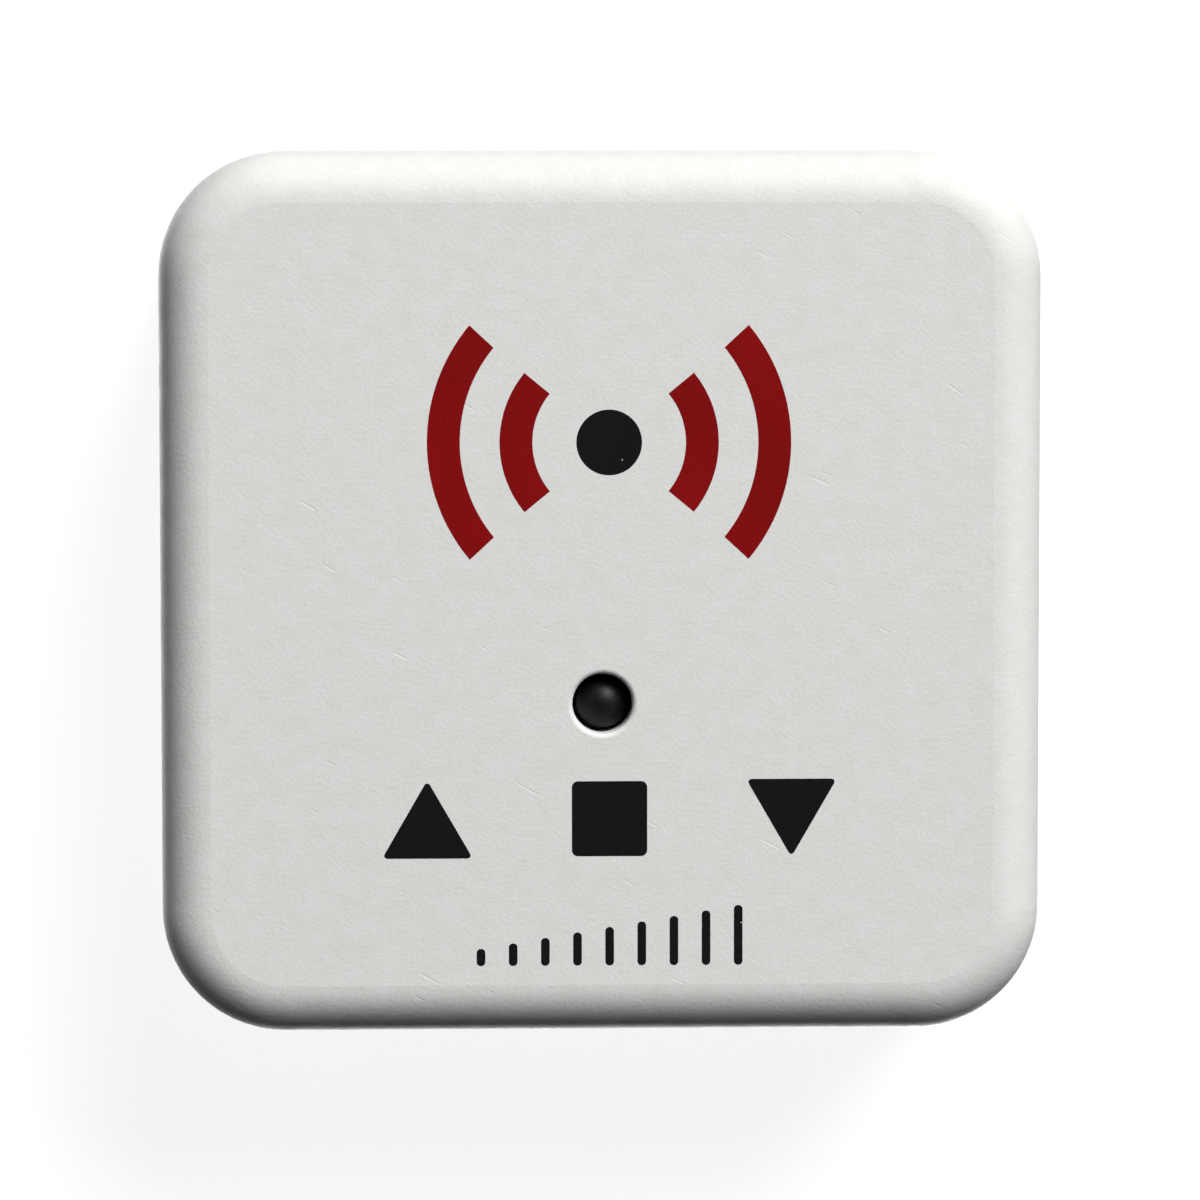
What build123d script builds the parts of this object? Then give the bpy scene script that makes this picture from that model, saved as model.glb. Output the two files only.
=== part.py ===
from build123d import *
import os
from math import sqrt

# Garage door controller. All lengths are millimetres.
# The case lies on its back: the wall side is at Z = 0 and +Z points out of the front face.
# +X and +Y are right and up as the front is looked at. The wires enter from -Y.

# Case. Its side and depth follow from what it holds, as worked out below
CORNER_RADIUS = 7.5
FRONT_ROLL_RADIUS = 3.0
WALL = 2.0
FACE_THICKNESS = 2.0
BACK_THICKNESS = 2.0
CAVITY_CHAMFER = 0.9
DRAFT_ANGLE = 1.0
PARTING_CHAMFER = 0.3
BACK_EDGE_CHAMFER = 0.4
OVERRUN = 1.0

# Lip of the back cover, inside the front cover's wall
LIP_CLEARANCE = 0.15
LIP_WIDTH = 1.0
LIP_HEIGHT = 1.5
LIP_GAP_MARGIN = 0.6

# Button hole, seen from the front
BUTTON_Y = -6.3
HOLE_DIAMETER = 3.5
HOLE_RIM_RADIUS = 0.3
COLLAR_DIAMETER = 6.8
COLLAR_DEPTH = 0.45

# Bosses of the front cover, pillars of the back cover and the screws that join them
BOSS_INSET = 6.8
BOSS_DIAMETER = 5.4
BOSS_PIN_DIAMETER = 3.4
BOSS_PIN_SHORTFALL = 0.2
BOSS_RIB_THICKNESS = 1.0
BOSS_RIB_DEPTH = 2.2
PILLAR_DIAMETER = 6.0
PILLAR_GAP = 1.0
PILLAR_SEAT = 2.0
FIN_THICKNESS = 0.8
FIN_REACH = 1.3
FIN_HEIGHT = 6.0
COUNTERBORE_DIAMETER = 4.6
MOUTH_CHAMFER = 0.3
CASE_SCREW_DIAMETER = 2.2
CASE_SCREW_LENGTH = 6.5
CASE_SCREW_HEAD_DIAMETER = 4.0
CASE_SCREW_HEAD_HEIGHT = 1.5
CASE_SCREW_HEAD_CHAMFER = 0.4
CASE_SCREW_SLACK = 0.3
CROSS_WIDTH = 0.6
CROSS_SPAN = 2.2
CROSS_DEPTH = 0.9
THREAD_GAP = 0.02
PILOT_SPARE = 0.1

# Circuit board
BOARD_THICKNESS = 1.6
BOARD_CLEARANCE = 0.4
BOARD_HOLE_SLACK = 0.2
LEAD_STICKOUT = 0.8

# Terminal block, six poles side by side
POLE_COUNT = 6
POLE_PITCH = 5.0
END_WALL = 0.2
TERMINAL_DEPTH = 8.4
TERMINAL_INSET = 0.4
TERMINAL_EDGE = 0.3
SCREW_AXIS_DEPTH = 4.4
HEAD_BORE_DIAMETER = 3.9
HEAD_BORE_DEPTH = 1.8
NECK_DIAMETER = 2.9
SHELF_THICKNESS = 0.7
ENTRY_WIDTH = 2.6
MOUTH_FLARE = 0.55
MOUTH_ANGLE = 27.0
POLE_GROOVE = 0.3
NOTCH_GAP = 0.2
NOTCH_CORNER = 0.4
SILL_HEIGHT = 1.1
SILL_GAP = 0.1

# Clamp of one pole: turning screw, rising cage and fixed bar
CLAMP_SCREW_DIAMETER = 2.6
CLAMP_HEAD_DIAMETER = 3.6
CLAMP_HEAD_HEIGHT = 1.4
CLAMP_SLOT_WIDTH = 0.6
CLAMP_SLOT_DEPTH = 0.7
CAGE_WIDTH = 3.8
CAGE_DEPTH = 4.2
CAGE_HEIGHT = 5.0
CAGE_TRAVEL = 1.8
CAGE_ROOM = 0.65
CAGE_SCREW_WALL = 1.0
CAGE_FAR_WALL = 0.65
CAGE_SIDE_WALL = 0.5
CAGE_SLIDE_GAP = 0.1
CAGE_END_GAP = 0.05
THREAD_RUNNING_GAP = 0.05
BAR_THICKNESS = 0.7
BAR_WIDTH = 2.6
BAR_PIN_WIDTH = 1.0
BAR_SHOULDER = 0.4
BAR_GAP = 0.1

# Push switch under the button
SWITCH_SIDE = 5.2
SWITCH_BASE_HEIGHT = 1.1
SWITCH_WELL_DIAMETER = 4.0
SWITCH_FLOOR = 0.4
SWITCH_PLATE_THICKNESS = 0.15
SWITCH_TAB_WIDTH = 1.4
SWITCH_TAB_DROP = 0.7
PLUNGER_DIAMETER = 2.6
PLUNGER_FLANGE_DIAMETER = 3.4
PLUNGER_FLANGE_THICKNESS = 0.25
PLUNGER_PROUD = 0.25
PLUNGER_GAP = 0.1
SNAP_DOME_RISE = 0.3
SNAP_DOME_THICKNESS = 0.1
SWITCH_LEG_WIDTH = 0.7
SWITCH_LEG_SPACING = 3.6

# Button cap: the dome that shows, a flange that keeps it in and a lug that gathers light
BUTTON_RECESS = 0.3
BUTTON_DIAMETER = 3.0
DOME_RISE = 1.1
FLANGE_DIAMETER = 6.4
FLANGE_THICKNESS = 0.8
FLANGE_GAP = 0.05
STEM_LENGTH = 0.4
LUG_WIDTH = 2.2
LUG_OVERHANG = 1.0
LUG_GUIDE_GAP = 0.15
LUG_GUIDE_THICKNESS = 0.7
LUG_GUIDE_DEPTH = 1.0
LED_DISTANCE = 4.0
LED_SIDE = 1.6
LED_HEIGHT = 0.6
LED_CUP_DIAMETER = 1.2
LED_CUP_DEPTH = 0.2

# Radio module on the front side of the board
RADIO_WIDTH = 18.0
RADIO_THICKNESS = 0.8
RADIO_EDGE_GAP = 0.5
RADIO_SWITCH_GAP = 1.3
SHIELD_WIDTH = 15.4
SHIELD_HEIGHT = 2.2
SHIELD_GAP = 0.2
SHIELD_SHEET = 0.2
SHIELD_CORNER = 0.6
SHIELD_INSET = 0.8
PAD_DIAMETER = 0.8
PAD_PITCH = 2.0
PAD_COUNT = 8
TRACE_WIDTH = 0.5
TRACE_THICKNESS = 0.05
TRACE_TURNS = 5
TRACE_STEP = 1.5
TRACE_REACH = 4.4
TRACE_EDGE_GAP = 0.6
TRACE_SHIELD_GAP = 2.1

# Relay
RELAY_LENGTH = 12.5
RELAY_WIDTH = 7.5
RELAY_TOP_ROOM = 1.05
RELAY_WALL = 0.5
RELAY_STANDOFF = 0.2
RELAY_CORNER = 0.5
RELAY_BASE_THICKNESS = 1.2
RELAY_BASE_GAP = 0.05
RELAY_END_GAP = 0.25
BOBBIN_WIDTH = 5.8
BOBBIN_HEIGHT = 6.4
BOBBIN_FLANGE = 0.5
BOBBIN_TUBE = 0.5
CORE_DIAMETER = 2.0
POLE_DISC_DIAMETER = 3.2
POLE_DISC_THICKNESS = 0.3
CORE_GAP = 0.05
WINDING_DIAMETER = 5.2
YOKE_THICKNESS = 0.8
YOKE_WIDTH = 5.0
YOKE_NOSE_RADIUS = 0.25
ARMATURE_THICKNESS = 0.8
ARMATURE_WIDTH = 4.6
ARMATURE_OVERLAP = 0.4
ARMATURE_PIVOT_GAP = 0.06
ARMATURE_AIR_GAP = 0.35
BLADE_THICKNESS = 0.15
BLADE_WIDTH = 2.0
BLADE_TIP_GAP = 0.4
CONTACT_DIAMETER = 1.0
CONTACT_THICKNESS = 0.25
CONTACT_STROKE = 0.43
CONTACT_GAP = 0.03
POST_THICKNESS = 0.3
POST_WIDTH = 1.6
POST_HEIGHT = 1.4
POST_WALL_GAP = 1.67
RELAY_PIN_SIDE = 0.5
RELAY_PIN_INSET = 1.6
RELAY_PLACE_SHARES = (-0.3125, -0.2383)

# Round capacitors
LARGE_CAPACITOR_DIAMETER = 8.0
LARGE_CAPACITOR_HEIGHT = 10.0
LARGE_CAPACITOR_PLACE_SHARES = (0.360, -0.212)
SMALL_CAPACITOR_DIAMETER = 6.3
SMALL_CAPACITOR_HEIGHT = 7.7
SMALL_CAPACITOR_PLACE_SHARES = (0.1695, -0.212)
CAN_TOP_CHAMFER = 0.4
CAN_GROOVE_LEVEL = 1.6
CAN_GROOVE_WIDTH = 0.5
CAN_GROOVE_DEPTH = 0.3
CAN_SKIRT = 0.4
SEAL_DEPTH = 1.1
LEAD_DIAMETER = 0.6
LEAD_SPACING = 2.5

# Inductor
INDUCTOR_DIAMETER = 7.3
INDUCTOR_HEIGHT = 4.5
INDUCTOR_FLANGE = 0.9
INDUCTOR_SPOOL = 3.4
INDUCTOR_WINDING_DIAMETER = 6.2
INDUCTOR_PLACE_SHARES = (0.2542, 0.060)

# Varistor, a coated disc that stands on its leads
VARISTOR_DIAMETER = 7.0
VARISTOR_THICKNESS = 3.4
VARISTOR_EDGE = 0.9
VARISTOR_LIFT = 1.0
VARISTOR_LEAD_SPACING = 5.0
VARISTOR_SKIRT_DIAMETER = 1.3
VARISTOR_PLACE_SHARES = (-0.36, -0.045)

# Moulded packages: length along X, width along Y, height
BRIDGE_SIZE = (8.5, 6.5, 3.0)
REGULATOR_SIZE = (4.9, 3.9, 1.5)
OPTOCOUPLER_SIZE = (4.6, 3.8, 2.1)
DIODE_SIZE = (4.3, 2.6, 2.2)
TRANSISTOR_SIZE = (2.9, 1.3, 1.0)
FUSE_SIZE = (6.1, 2.7, 2.5)
CHIP_RESISTOR_SIZE = (2.0, 1.25, 0.5)
CHIP_CAPACITOR_SIZE = (2.0, 1.25, 0.9)
PACKAGE_TAPER_ANGLE = 6.0
PACKAGE_LIFT = 0.15
PACKAGE_NOTCH_DIAMETER = 1.0
PACKAGE_NOTCH_DEPTH = 0.3
FUSE_CAP_LENGTH = 1.3
LEG_THICKNESS = 0.2
LEG_REACH = 1.1
LEG_FOOT = 0.6
LEG_WIDTH = 0.45
LEG_PITCH = 1.27
BRIDGE_LEG_SPACING = 5.1
OPTOCOUPLER_LEG_SPACING = 2.54
TRANSISTOR_LEG_SPACING = 1.9
DIODE_TAB_WIDTH = 1.5
BRIDGE_PLACE_SHARES = (-0.0318, -0.2542)
REGULATOR_PLACE_SHARES = (-0.03, 0.19)
OPTOCOUPLER_PLACE_SHARES = (-0.25, 0.13)
FUSE_PLACE_SHARES = (-0.12, -0.045)
DIODE_PLACES_SHARES = ((0.045, -0.06), (0.045, 0.02), (-0.25, 0.03))
TRANSISTOR_PLACES_SHARES = ((-0.38, 0.14), (-0.10, 0.33))
CHIP_RESISTOR_PLACES_SHARES = (
    (-0.38, 0.22), (-0.33, 0.22), (-0.25, 0.24), (-0.19, 0.24), (-0.02, 0.33),
    (0.05, 0.33), (0.12, 0.33), (0.32, 0.20), (0.39, 0.20), (0.39, 0.10),
)
CHIP_CAPACITOR_PLACES_SHARES = (
    (0.12, 0.17), (0.12, 0.22), (0.20, 0.22), (-0.16, 0.19), (0.05, 0.40), (-0.12, 0.08),
)

# Relay, measured up from the board
COIL_LEVEL = RELAY_BASE_THICKNESS + BOBBIN_HEIGHT / 2
YOKE_LOW = RELAY_BASE_THICKNESS + BOBBIN_HEIGHT + CORE_GAP
YOKE_HIGH = YOKE_LOW + YOKE_THICKNESS
RELAY_HEIGHT = YOKE_HIGH + RELAY_TOP_ROOM + RELAY_WALL
ARMATURE_LOW = COIL_LEVEL - POLE_DISC_DIAMETER / 2
CONTACT_LEVEL = RELAY_BASE_THICKNESS + BLADE_TIP_GAP + CONTACT_DIAMETER / 2

# Relay, measured along its length from its middle: contacts at one end, yoke at the other, coil between
CLOSED_POST_FACE = RELAY_LENGTH / 2 - RELAY_WALL - POST_WALL_GAP - POST_THICKNESS
BLADE_FACE = CLOSED_POST_FACE - CONTACT_GAP - CONTACT_THICKNESS - BLADE_THICKNESS
OPEN_POST_FACE = BLADE_FACE - CONTACT_THICKNESS - CONTACT_STROKE
ARMATURE_FACE = BLADE_FACE - ARMATURE_THICKNESS
POLE_FACE = ARMATURE_FACE - ARMATURE_AIR_GAP
YOKE_BACK = RELAY_WALL + RELAY_END_GAP - RELAY_LENGTH / 2
BOBBIN_BACK = YOKE_BACK + YOKE_THICKNESS
BOBBIN_LENGTH = POLE_FACE - POLE_DISC_THICKNESS - BOBBIN_BACK

# The stack that sets the depth of the case, from the back cover to the front face
SWITCH_TOP = SWITCH_BASE_HEIGHT + SWITCH_PLATE_THICKNESS
PLUNGER_TOP = SWITCH_TOP + PLUNGER_PROUD
TERMINAL_HEIGHT = HEAD_BORE_DEPTH + SHELF_THICKNESS + CAGE_END_GAP + CAGE_TRAVEL + CAGE_HEIGHT + CAGE_ROOM
TALLEST_PIECE = max(TERMINAL_HEIGHT, RELAY_HEIGHT, LARGE_CAPACITOR_HEIGHT, SMALL_CAPACITOR_HEIGHT)
BUTTON_STACK = PLUNGER_TOP + STEM_LENGTH + FLANGE_THICKNESS + FLANGE_GAP + COLLAR_DEPTH
RADIO_STACK = RADIO_THICKNESS + SHIELD_HEIGHT + SHIELD_GAP
BOARD_BACK = BACK_THICKNESS + SILL_HEIGHT + SILL_GAP + TALLEST_PIECE
BOARD_FRONT = BOARD_BACK + BOARD_THICKNESS
CAVITY_TOP = BOARD_FRONT + max(BUTTON_STACK, RADIO_STACK)
CASE_DEPTH = CAVITY_TOP + FACE_THICKNESS

# The row that sets the side of the case: the terminal block between two pillars
TERMINAL_WIDTH = POLE_COUNT * POLE_PITCH + 2 * END_WALL
BOSS_OFFSET = TERMINAL_WIDTH / 2 + PILLAR_GAP + PILLAR_DIAMETER / 2
CASE_SIDE = 2 * (BOSS_OFFSET + BOSS_INSET)
CAVITY_SIDE = CASE_SIDE - 2 * WALL
BOARD_SIDE = CAVITY_SIDE - 2 * BOARD_CLEARANCE
BOARD_CORNER = CORNER_RADIUS - WALL - BOARD_CLEARANCE
LEAD_END = BOARD_THICKNESS + LEAD_STICKOUT
PILLAR_SEAT_LEVEL = BOARD_BACK - PILLAR_SEAT
CASE_SCREW_TIP = PILLAR_SEAT_LEVEL + CASE_SCREW_LENGTH

# Terminal block, worked out from its sizes
TERMINAL_FRONT = TERMINAL_INSET - CASE_SIDE / 2
TERMINAL_REAR = TERMINAL_FRONT + TERMINAL_DEPTH
TERMINAL_LOW = BOARD_BACK - TERMINAL_HEIGHT
CLAMP_Y = TERMINAL_FRONT + SCREW_AXIS_DEPTH
SHELF_LOW = TERMINAL_LOW + HEAD_BORE_DEPTH
SHELF_TOP = SHELF_LOW + SHELF_THICKNESS
CAGE_LOW = SHELF_TOP + CAGE_END_GAP + CAGE_TRAVEL
CAGE_HIGH = CAGE_LOW + CAGE_HEIGHT
BAR_LOW = CAGE_LOW + CAGE_SCREW_WALL + CAGE_END_GAP
BAR_HIGH = BAR_LOW + BAR_THICKNESS
ENTRY_HIGH = CAGE_HIGH - CAGE_FAR_WALL
ENTRY_MIDDLE = (BAR_HIGH + ENTRY_HIGH) / 2
CHAMBER_DEPTH = CAGE_DEPTH + 2 * CAGE_SLIDE_GAP
BAR_REAR = CLAMP_Y + CHAMBER_DEPTH / 2 + BAR_THICKNESS + BAR_GAP
BAR_PIN_Y = BAR_REAR - BAR_THICKNESS / 2
NOTCH_TOP = BOARD_BACK + NOTCH_GAP
POLE_PLACES = [(pole - (POLE_COUNT - 1) / 2) * POLE_PITCH for pole in range(POLE_COUNT)]

# Button and switch, worked out from their sizes
BUTTON_TOP = CASE_DEPTH - BUTTON_RECESS
COLLAR_LOW = CAVITY_TOP - COLLAR_DEPTH
FLANGE_TOP = COLLAR_LOW - FLANGE_GAP
LUG_REACH = LED_DISTANCE + LUG_OVERHANG

# Radio module, which fills the board between the push switch and the upper edge
RADIO_HIGH_Y = BOARD_SIDE / 2 - RADIO_EDGE_GAP
RADIO_LOW_Y = BUTTON_Y + SWITCH_SIDE / 2 + RADIO_SWITCH_GAP
SHIELD_LOW_Y = RADIO_LOW_Y + SHIELD_INSET
SHIELD_HIGH_Y = RADIO_HIGH_Y - TRACE_EDGE_GAP - TRACE_REACH - TRACE_SHIELD_GAP


def block(width, depth, low, high, corner=0):
    """A straight block on the Z axis, with its upright edges rounded."""
    outline = RectangleRounded(width, depth, corner) if corner else Rectangle(width, depth)
    return Pos(0, 0, low) * extrude(outline, high - low)


def rod(diameter, low, high):
    """A round bar on the Z axis."""
    return Pos(0, 0, low) * extrude(Circle(diameter / 2), high - low)


def cuboid(x_low, x_high, y_low, y_high, z_low, z_high):
    """A plain block between two opposite corners."""
    middle = Pos((x_low + x_high) / 2, (y_low + y_high) / 2, (z_low + z_high) / 2)
    return middle * Box(x_high - x_low, y_high - y_low, z_high - z_low)


def block_along_y(width, height, middle, y_low, y_high, corner=0):
    """A block whose rounded edges run along Y."""
    return Pos(0, y_high, middle) * Rot(90, 0, 0) * block(width, height, 0, y_high - y_low, corner)


def rod_along_x(diameter, x_low, x_high):
    """A round bar on the X axis."""
    return Rot(0, 90, 0) * rod(diameter, x_low, x_high)


def drafted_block(side, corner, low, high):
    """A rounded square block that narrows towards the front by the mould's draft."""
    return Pos(0, 0, low) * extrude(RectangleRounded(side, side, corner), high - low, taper=DRAFT_ANGLE)


def in_four_corners(piece):
    """A piece and its mirror images in the other three corners."""
    pair = [piece, mirror(piece, Plane.YZ)]
    return pair + [mirror(one, Plane.XZ) for one in pair]


def on_board_front(x, y):
    """Where a piece that stands on the front side of the board goes."""
    return Pos(x, y, BOARD_FRONT)


def on_board_back(shares):
    """Where a piece that stands on the back side of the board goes, from its share of the board."""
    return Pos(shares[0] * BOARD_SIDE, shares[1] * BOARD_SIDE, BOARD_BACK) * Rot(180, 0, 0)


def place_of(shares, x, y):
    """The place on the board of a lead that is at x, y in its component's own frame."""
    return (shares[0] * BOARD_SIDE + x, shares[1] * BOARD_SIDE - y)


# Covers


def front_cover():
    """The moulded shell: rolled front edge, button hole, bosses, ribs and the terminal notch."""
    shell = drafted_block(CASE_SIDE, CORNER_RADIUS, BACK_THICKNESS, CASE_DEPTH)
    shell = fillet(shell.edges().group_by(Axis.Z)[-1], FRONT_ROLL_RADIUS)
    shell = chamfer(shell.edges().group_by(Axis.Z)[0], PARTING_CHAMFER)
    button = Pos(0, BUTTON_Y, 0)
    shell -= button * rod(HOLE_DIAMETER, CAVITY_TOP, CASE_DEPTH + OVERRUN)
    rims = shell.edges().filter_by(GeomType.CIRCLE).group_by(Axis.Z)[-1]
    shell = fillet(rims.sort_by(SortBy.RADIUS)[0], HOLE_RIM_RADIUS)
    cavity = drafted_block(CAVITY_SIDE, CORNER_RADIUS - WALL, BACK_THICKNESS, CAVITY_TOP)
    shell -= chamfer(cavity.edges().group_by(Axis.Z)[-1], CAVITY_CHAMFER)
    shell += button * rod(COLLAR_DIAMETER, COLLAR_LOW, CAVITY_TOP)
    shell += [button * guide for guide in lug_guides()]
    shell -= button * rod(HOLE_DIAMETER, COLLAR_LOW - OVERRUN, CAVITY_TOP)
    shell += in_four_corners(boss())
    pilot_end = CASE_SCREW_TIP + PILOT_SPARE
    pilot = rod(CASE_SCREW_DIAMETER + 2 * THREAD_GAP, BOARD_BACK - OVERRUN, pilot_end)
    shell -= in_four_corners(Pos(BOSS_OFFSET, BOSS_OFFSET, 0) * pilot)
    return shell - terminal_notch()


def boss():
    """One corner boss with the pin that centres the board and its two ribs to the walls."""
    post = rod(BOSS_DIAMETER, BOARD_FRONT, CAVITY_TOP)
    post += rod(BOSS_PIN_DIAMETER, BOARD_BACK + BOSS_PIN_SHORTFALL, BOARD_FRONT)
    reach = CASE_SIDE / 2 - WALL / 2 - BOSS_OFFSET
    half_rib = BOSS_RIB_THICKNESS / 2
    rib_low = CAVITY_TOP - BOSS_RIB_DEPTH
    post += cuboid(0, reach, -half_rib, half_rib, rib_low, CAVITY_TOP)
    post += cuboid(-half_rib, half_rib, 0, reach, rib_low, CAVITY_TOP)
    return Pos(BOSS_OFFSET, BOSS_OFFSET, 0) * post


def lug_guides():
    """Two short ribs beside the button's lug, which keep the cap from turning."""
    inner = LUG_WIDTH / 2 + LUG_GUIDE_GAP
    outer = inner + LUG_GUIDE_THICKNESS
    low = CAVITY_TOP - LUG_GUIDE_DEPTH
    guide = cuboid(FLANGE_DIAMETER / 2 + LUG_GUIDE_GAP, LUG_REACH, inner, outer, low, CAVITY_TOP)
    return [guide, mirror(guide, Plane.XZ)]


def terminal_notch():
    """The cut in the lower wall that the terminal block looks out of."""
    low = BACK_THICKNESS - OVERRUN - NOTCH_CORNER
    width = TERMINAL_WIDTH + 2 * NOTCH_GAP
    inside = WALL + OVERRUN - CASE_SIDE / 2
    middle = (low + NOTCH_TOP) / 2
    return block_along_y(width, NOTCH_TOP - low, middle, -CASE_SIDE / 2 - OVERRUN, inside, NOTCH_CORNER)


def back_cover():
    """The moulded back: lip, screw pillars, terminal sill and screwdriver holes."""
    plate = block(CASE_SIDE, CASE_SIDE, 0, BACK_THICKNESS, CORNER_RADIUS)
    plate = chamfer(plate.edges().group_by(Axis.Z)[0], BACK_EDGE_CHAMFER)
    plate = chamfer(plate.edges().group_by(Axis.Z)[-1], PARTING_CHAMFER)
    plate += back_lip()
    half_width = TERMINAL_WIDTH / 2
    sill_rear = TERMINAL_REAR - TERMINAL_INSET
    sill_top = TERMINAL_LOW - SILL_GAP
    plate += cuboid(-half_width, half_width, TERMINAL_FRONT, sill_rear, 0, sill_top)
    plate += in_four_corners(Pos(BOSS_OFFSET, BOSS_OFFSET, 0) * pillar())
    screw_way = rod(COUNTERBORE_DIAMETER, -OVERRUN, PILLAR_SEAT_LEVEL)
    screw_way += rod(CASE_SCREW_DIAMETER + CASE_SCREW_SLACK, 0, BOARD_BACK + OVERRUN)
    screw_way += flared_mouth(COUNTERBORE_DIAMETER)
    plate -= in_four_corners(Pos(BOSS_OFFSET, BOSS_OFFSET, 0) * screw_way)
    driver_way = rod(HEAD_BORE_DIAMETER, -OVERRUN, sill_top + OVERRUN) + flared_mouth(HEAD_BORE_DIAMETER)
    plate -= [Pos(x, CLAMP_Y, 0) * driver_way for x in POLE_PLACES]
    return plate


def back_lip():
    """The low wall that centres the front cover, open where the terminal block stands."""
    side = CAVITY_SIDE - 2 * LIP_CLEARANCE
    corner = CORNER_RADIUS - WALL - LIP_CLEARANCE
    top = BACK_THICKNESS + LIP_HEIGHT
    lip = drafted_block(side, corner, BACK_THICKNESS, top)
    lip -= block(side - 2 * LIP_WIDTH, side - 2 * LIP_WIDTH, 0, top + OVERRUN, corner - LIP_WIDTH)
    half_gap = TERMINAL_WIDTH / 2 + LIP_GAP_MARGIN
    return lip - cuboid(-half_gap, half_gap, -CASE_SIDE / 2, TERMINAL_REAR, 0, top + OVERRUN)


def pillar():
    """One screw pillar, with a fin towards the middle of the case."""
    fin_end = PILLAR_DIAMETER / 2 + FIN_REACH
    fin_top = (fin_end - FIN_REACH, FIN_HEIGHT)
    fin_outline = Polyline((0, 0), (fin_end, 0), fin_top, (0, FIN_HEIGHT), close=True)
    fin = extrude(Plane.XZ * make_face(fin_outline), FIN_THICKNESS / 2, both=True)
    post = rod(PILLAR_DIAMETER, BACK_THICKNESS, BOARD_BACK)
    return post + Pos(0, 0, BACK_THICKNESS) * Rot(0, 0, 225) * fin


def flared_mouth(diameter):
    """The chamfer cut where a hole opens in the back face."""
    return Cone(diameter / 2 + 2 * MOUTH_CHAMFER, diameter / 2, 2 * MOUTH_CHAMFER)


def case_screw():
    """One pan-head self-tapping screw with a cross recess, head towards the back."""
    head_low = PILLAR_SEAT_LEVEL - CASE_SCREW_HEAD_HEIGHT
    head = rod(CASE_SCREW_HEAD_DIAMETER, head_low, PILLAR_SEAT_LEVEL)
    head = chamfer(head.edges().group_by(Axis.Z)[0], CASE_SCREW_HEAD_CHAMFER)
    for turn in (0, 90):
        head -= Rot(0, 0, turn) * block(CROSS_SPAN, CROSS_WIDTH, head_low - OVERRUN, head_low + CROSS_DEPTH)
    shank_end = CASE_SCREW_TIP - CASE_SCREW_DIAMETER / 2
    shank = rod(CASE_SCREW_DIAMETER, PILLAR_SEAT_LEVEL, shank_end)
    tip = Cone(CASE_SCREW_DIAMETER / 2, CASE_SCREW_DIAMETER / 8, CASE_SCREW_TIP - shank_end)
    return head + shank + Pos(0, 0, (shank_end + CASE_SCREW_TIP) / 2) * tip


# Terminal block and its clamps


def terminal_block():
    """The six-pole housing, with a screw bore, a cage chamber and a wire entry in each pole."""
    half_width = TERMINAL_WIDTH / 2
    housing = cuboid(-half_width, half_width, TERMINAL_FRONT, TERMINAL_REAR, TERMINAL_LOW, BOARD_BACK)
    housing = chamfer(housing.edges().group_by(Axis.Z)[0], TERMINAL_EDGE)
    pole = pole_space()
    housing -= [Pos(x, 0, 0) * pole for x in POLE_PLACES]
    half_groove = POLE_GROOVE / 2
    depth = TERMINAL_FRONT + POLE_GROOVE
    groove = cuboid(-half_groove, half_groove, TERMINAL_FRONT - OVERRUN, depth, TERMINAL_LOW, BOARD_BACK)
    return housing - [Pos(x + POLE_PITCH / 2, 0, 0) * groove for x in POLE_PLACES[:-1]]


def pole_space():
    """Everything that is hollow in one pole of the terminal block."""
    at_screw = Pos(0, CLAMP_Y, 0)
    space = at_screw * rod(HEAD_BORE_DIAMETER, TERMINAL_LOW - OVERRUN, SHELF_LOW)
    space += at_screw * rod(NECK_DIAMETER, SHELF_LOW, SHELF_TOP)
    chamber_width = CAGE_WIDTH + 2 * CAGE_SLIDE_GAP
    space += at_screw * block(chamber_width, CHAMBER_DEPTH, SHELF_TOP, BOARD_BACK + OVERRUN)
    entry_height = ENTRY_HIGH - BAR_HIGH
    front = TERMINAL_FRONT - OVERRUN
    space += block_along_y(ENTRY_WIDTH, entry_height, ENTRY_MIDDLE, front, CLAMP_Y)
    space += wire_mouth(entry_height)
    channel = BAR_WIDTH / 2 + BAR_GAP
    rear = BAR_REAR + BAR_GAP
    space += cuboid(-channel, channel, CLAMP_Y, rear, BAR_LOW - CAGE_END_GAP, BOARD_BACK + OVERRUN)
    return space


def wire_mouth(entry_height):
    """The funnel that leads a wire into its entry."""
    wide = Rectangle(ENTRY_WIDTH + 2 * MOUTH_FLARE, entry_height + 2 * MOUTH_FLARE)
    funnel = extrude(wide, 2 * MOUTH_FLARE, taper=MOUTH_ANGLE)
    return Pos(0, TERMINAL_FRONT, ENTRY_MIDDLE) * Rot(-90, 0, 0) * funnel


def terminal_bar():
    """One current bar: a tongue through the cage, bent up into a pin through the board."""
    half = BAR_WIDTH / 2
    half_pin = BAR_PIN_WIDTH / 2
    tongue_front = CLAMP_Y - CHAMBER_DEPTH / 2 + BAR_GAP
    bend_front = BAR_REAR - BAR_THICKNESS
    shoulder = BOARD_BACK - BAR_SHOULDER
    bar = cuboid(-half, half, tongue_front, BAR_REAR, BAR_LOW, BAR_HIGH)
    bar += cuboid(-half, half, bend_front, BAR_REAR, BAR_LOW, shoulder)
    return bar + cuboid(-half_pin, half_pin, bend_front, BAR_REAR, shoulder, BOARD_FRONT + LEAD_STICKOUT)


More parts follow.
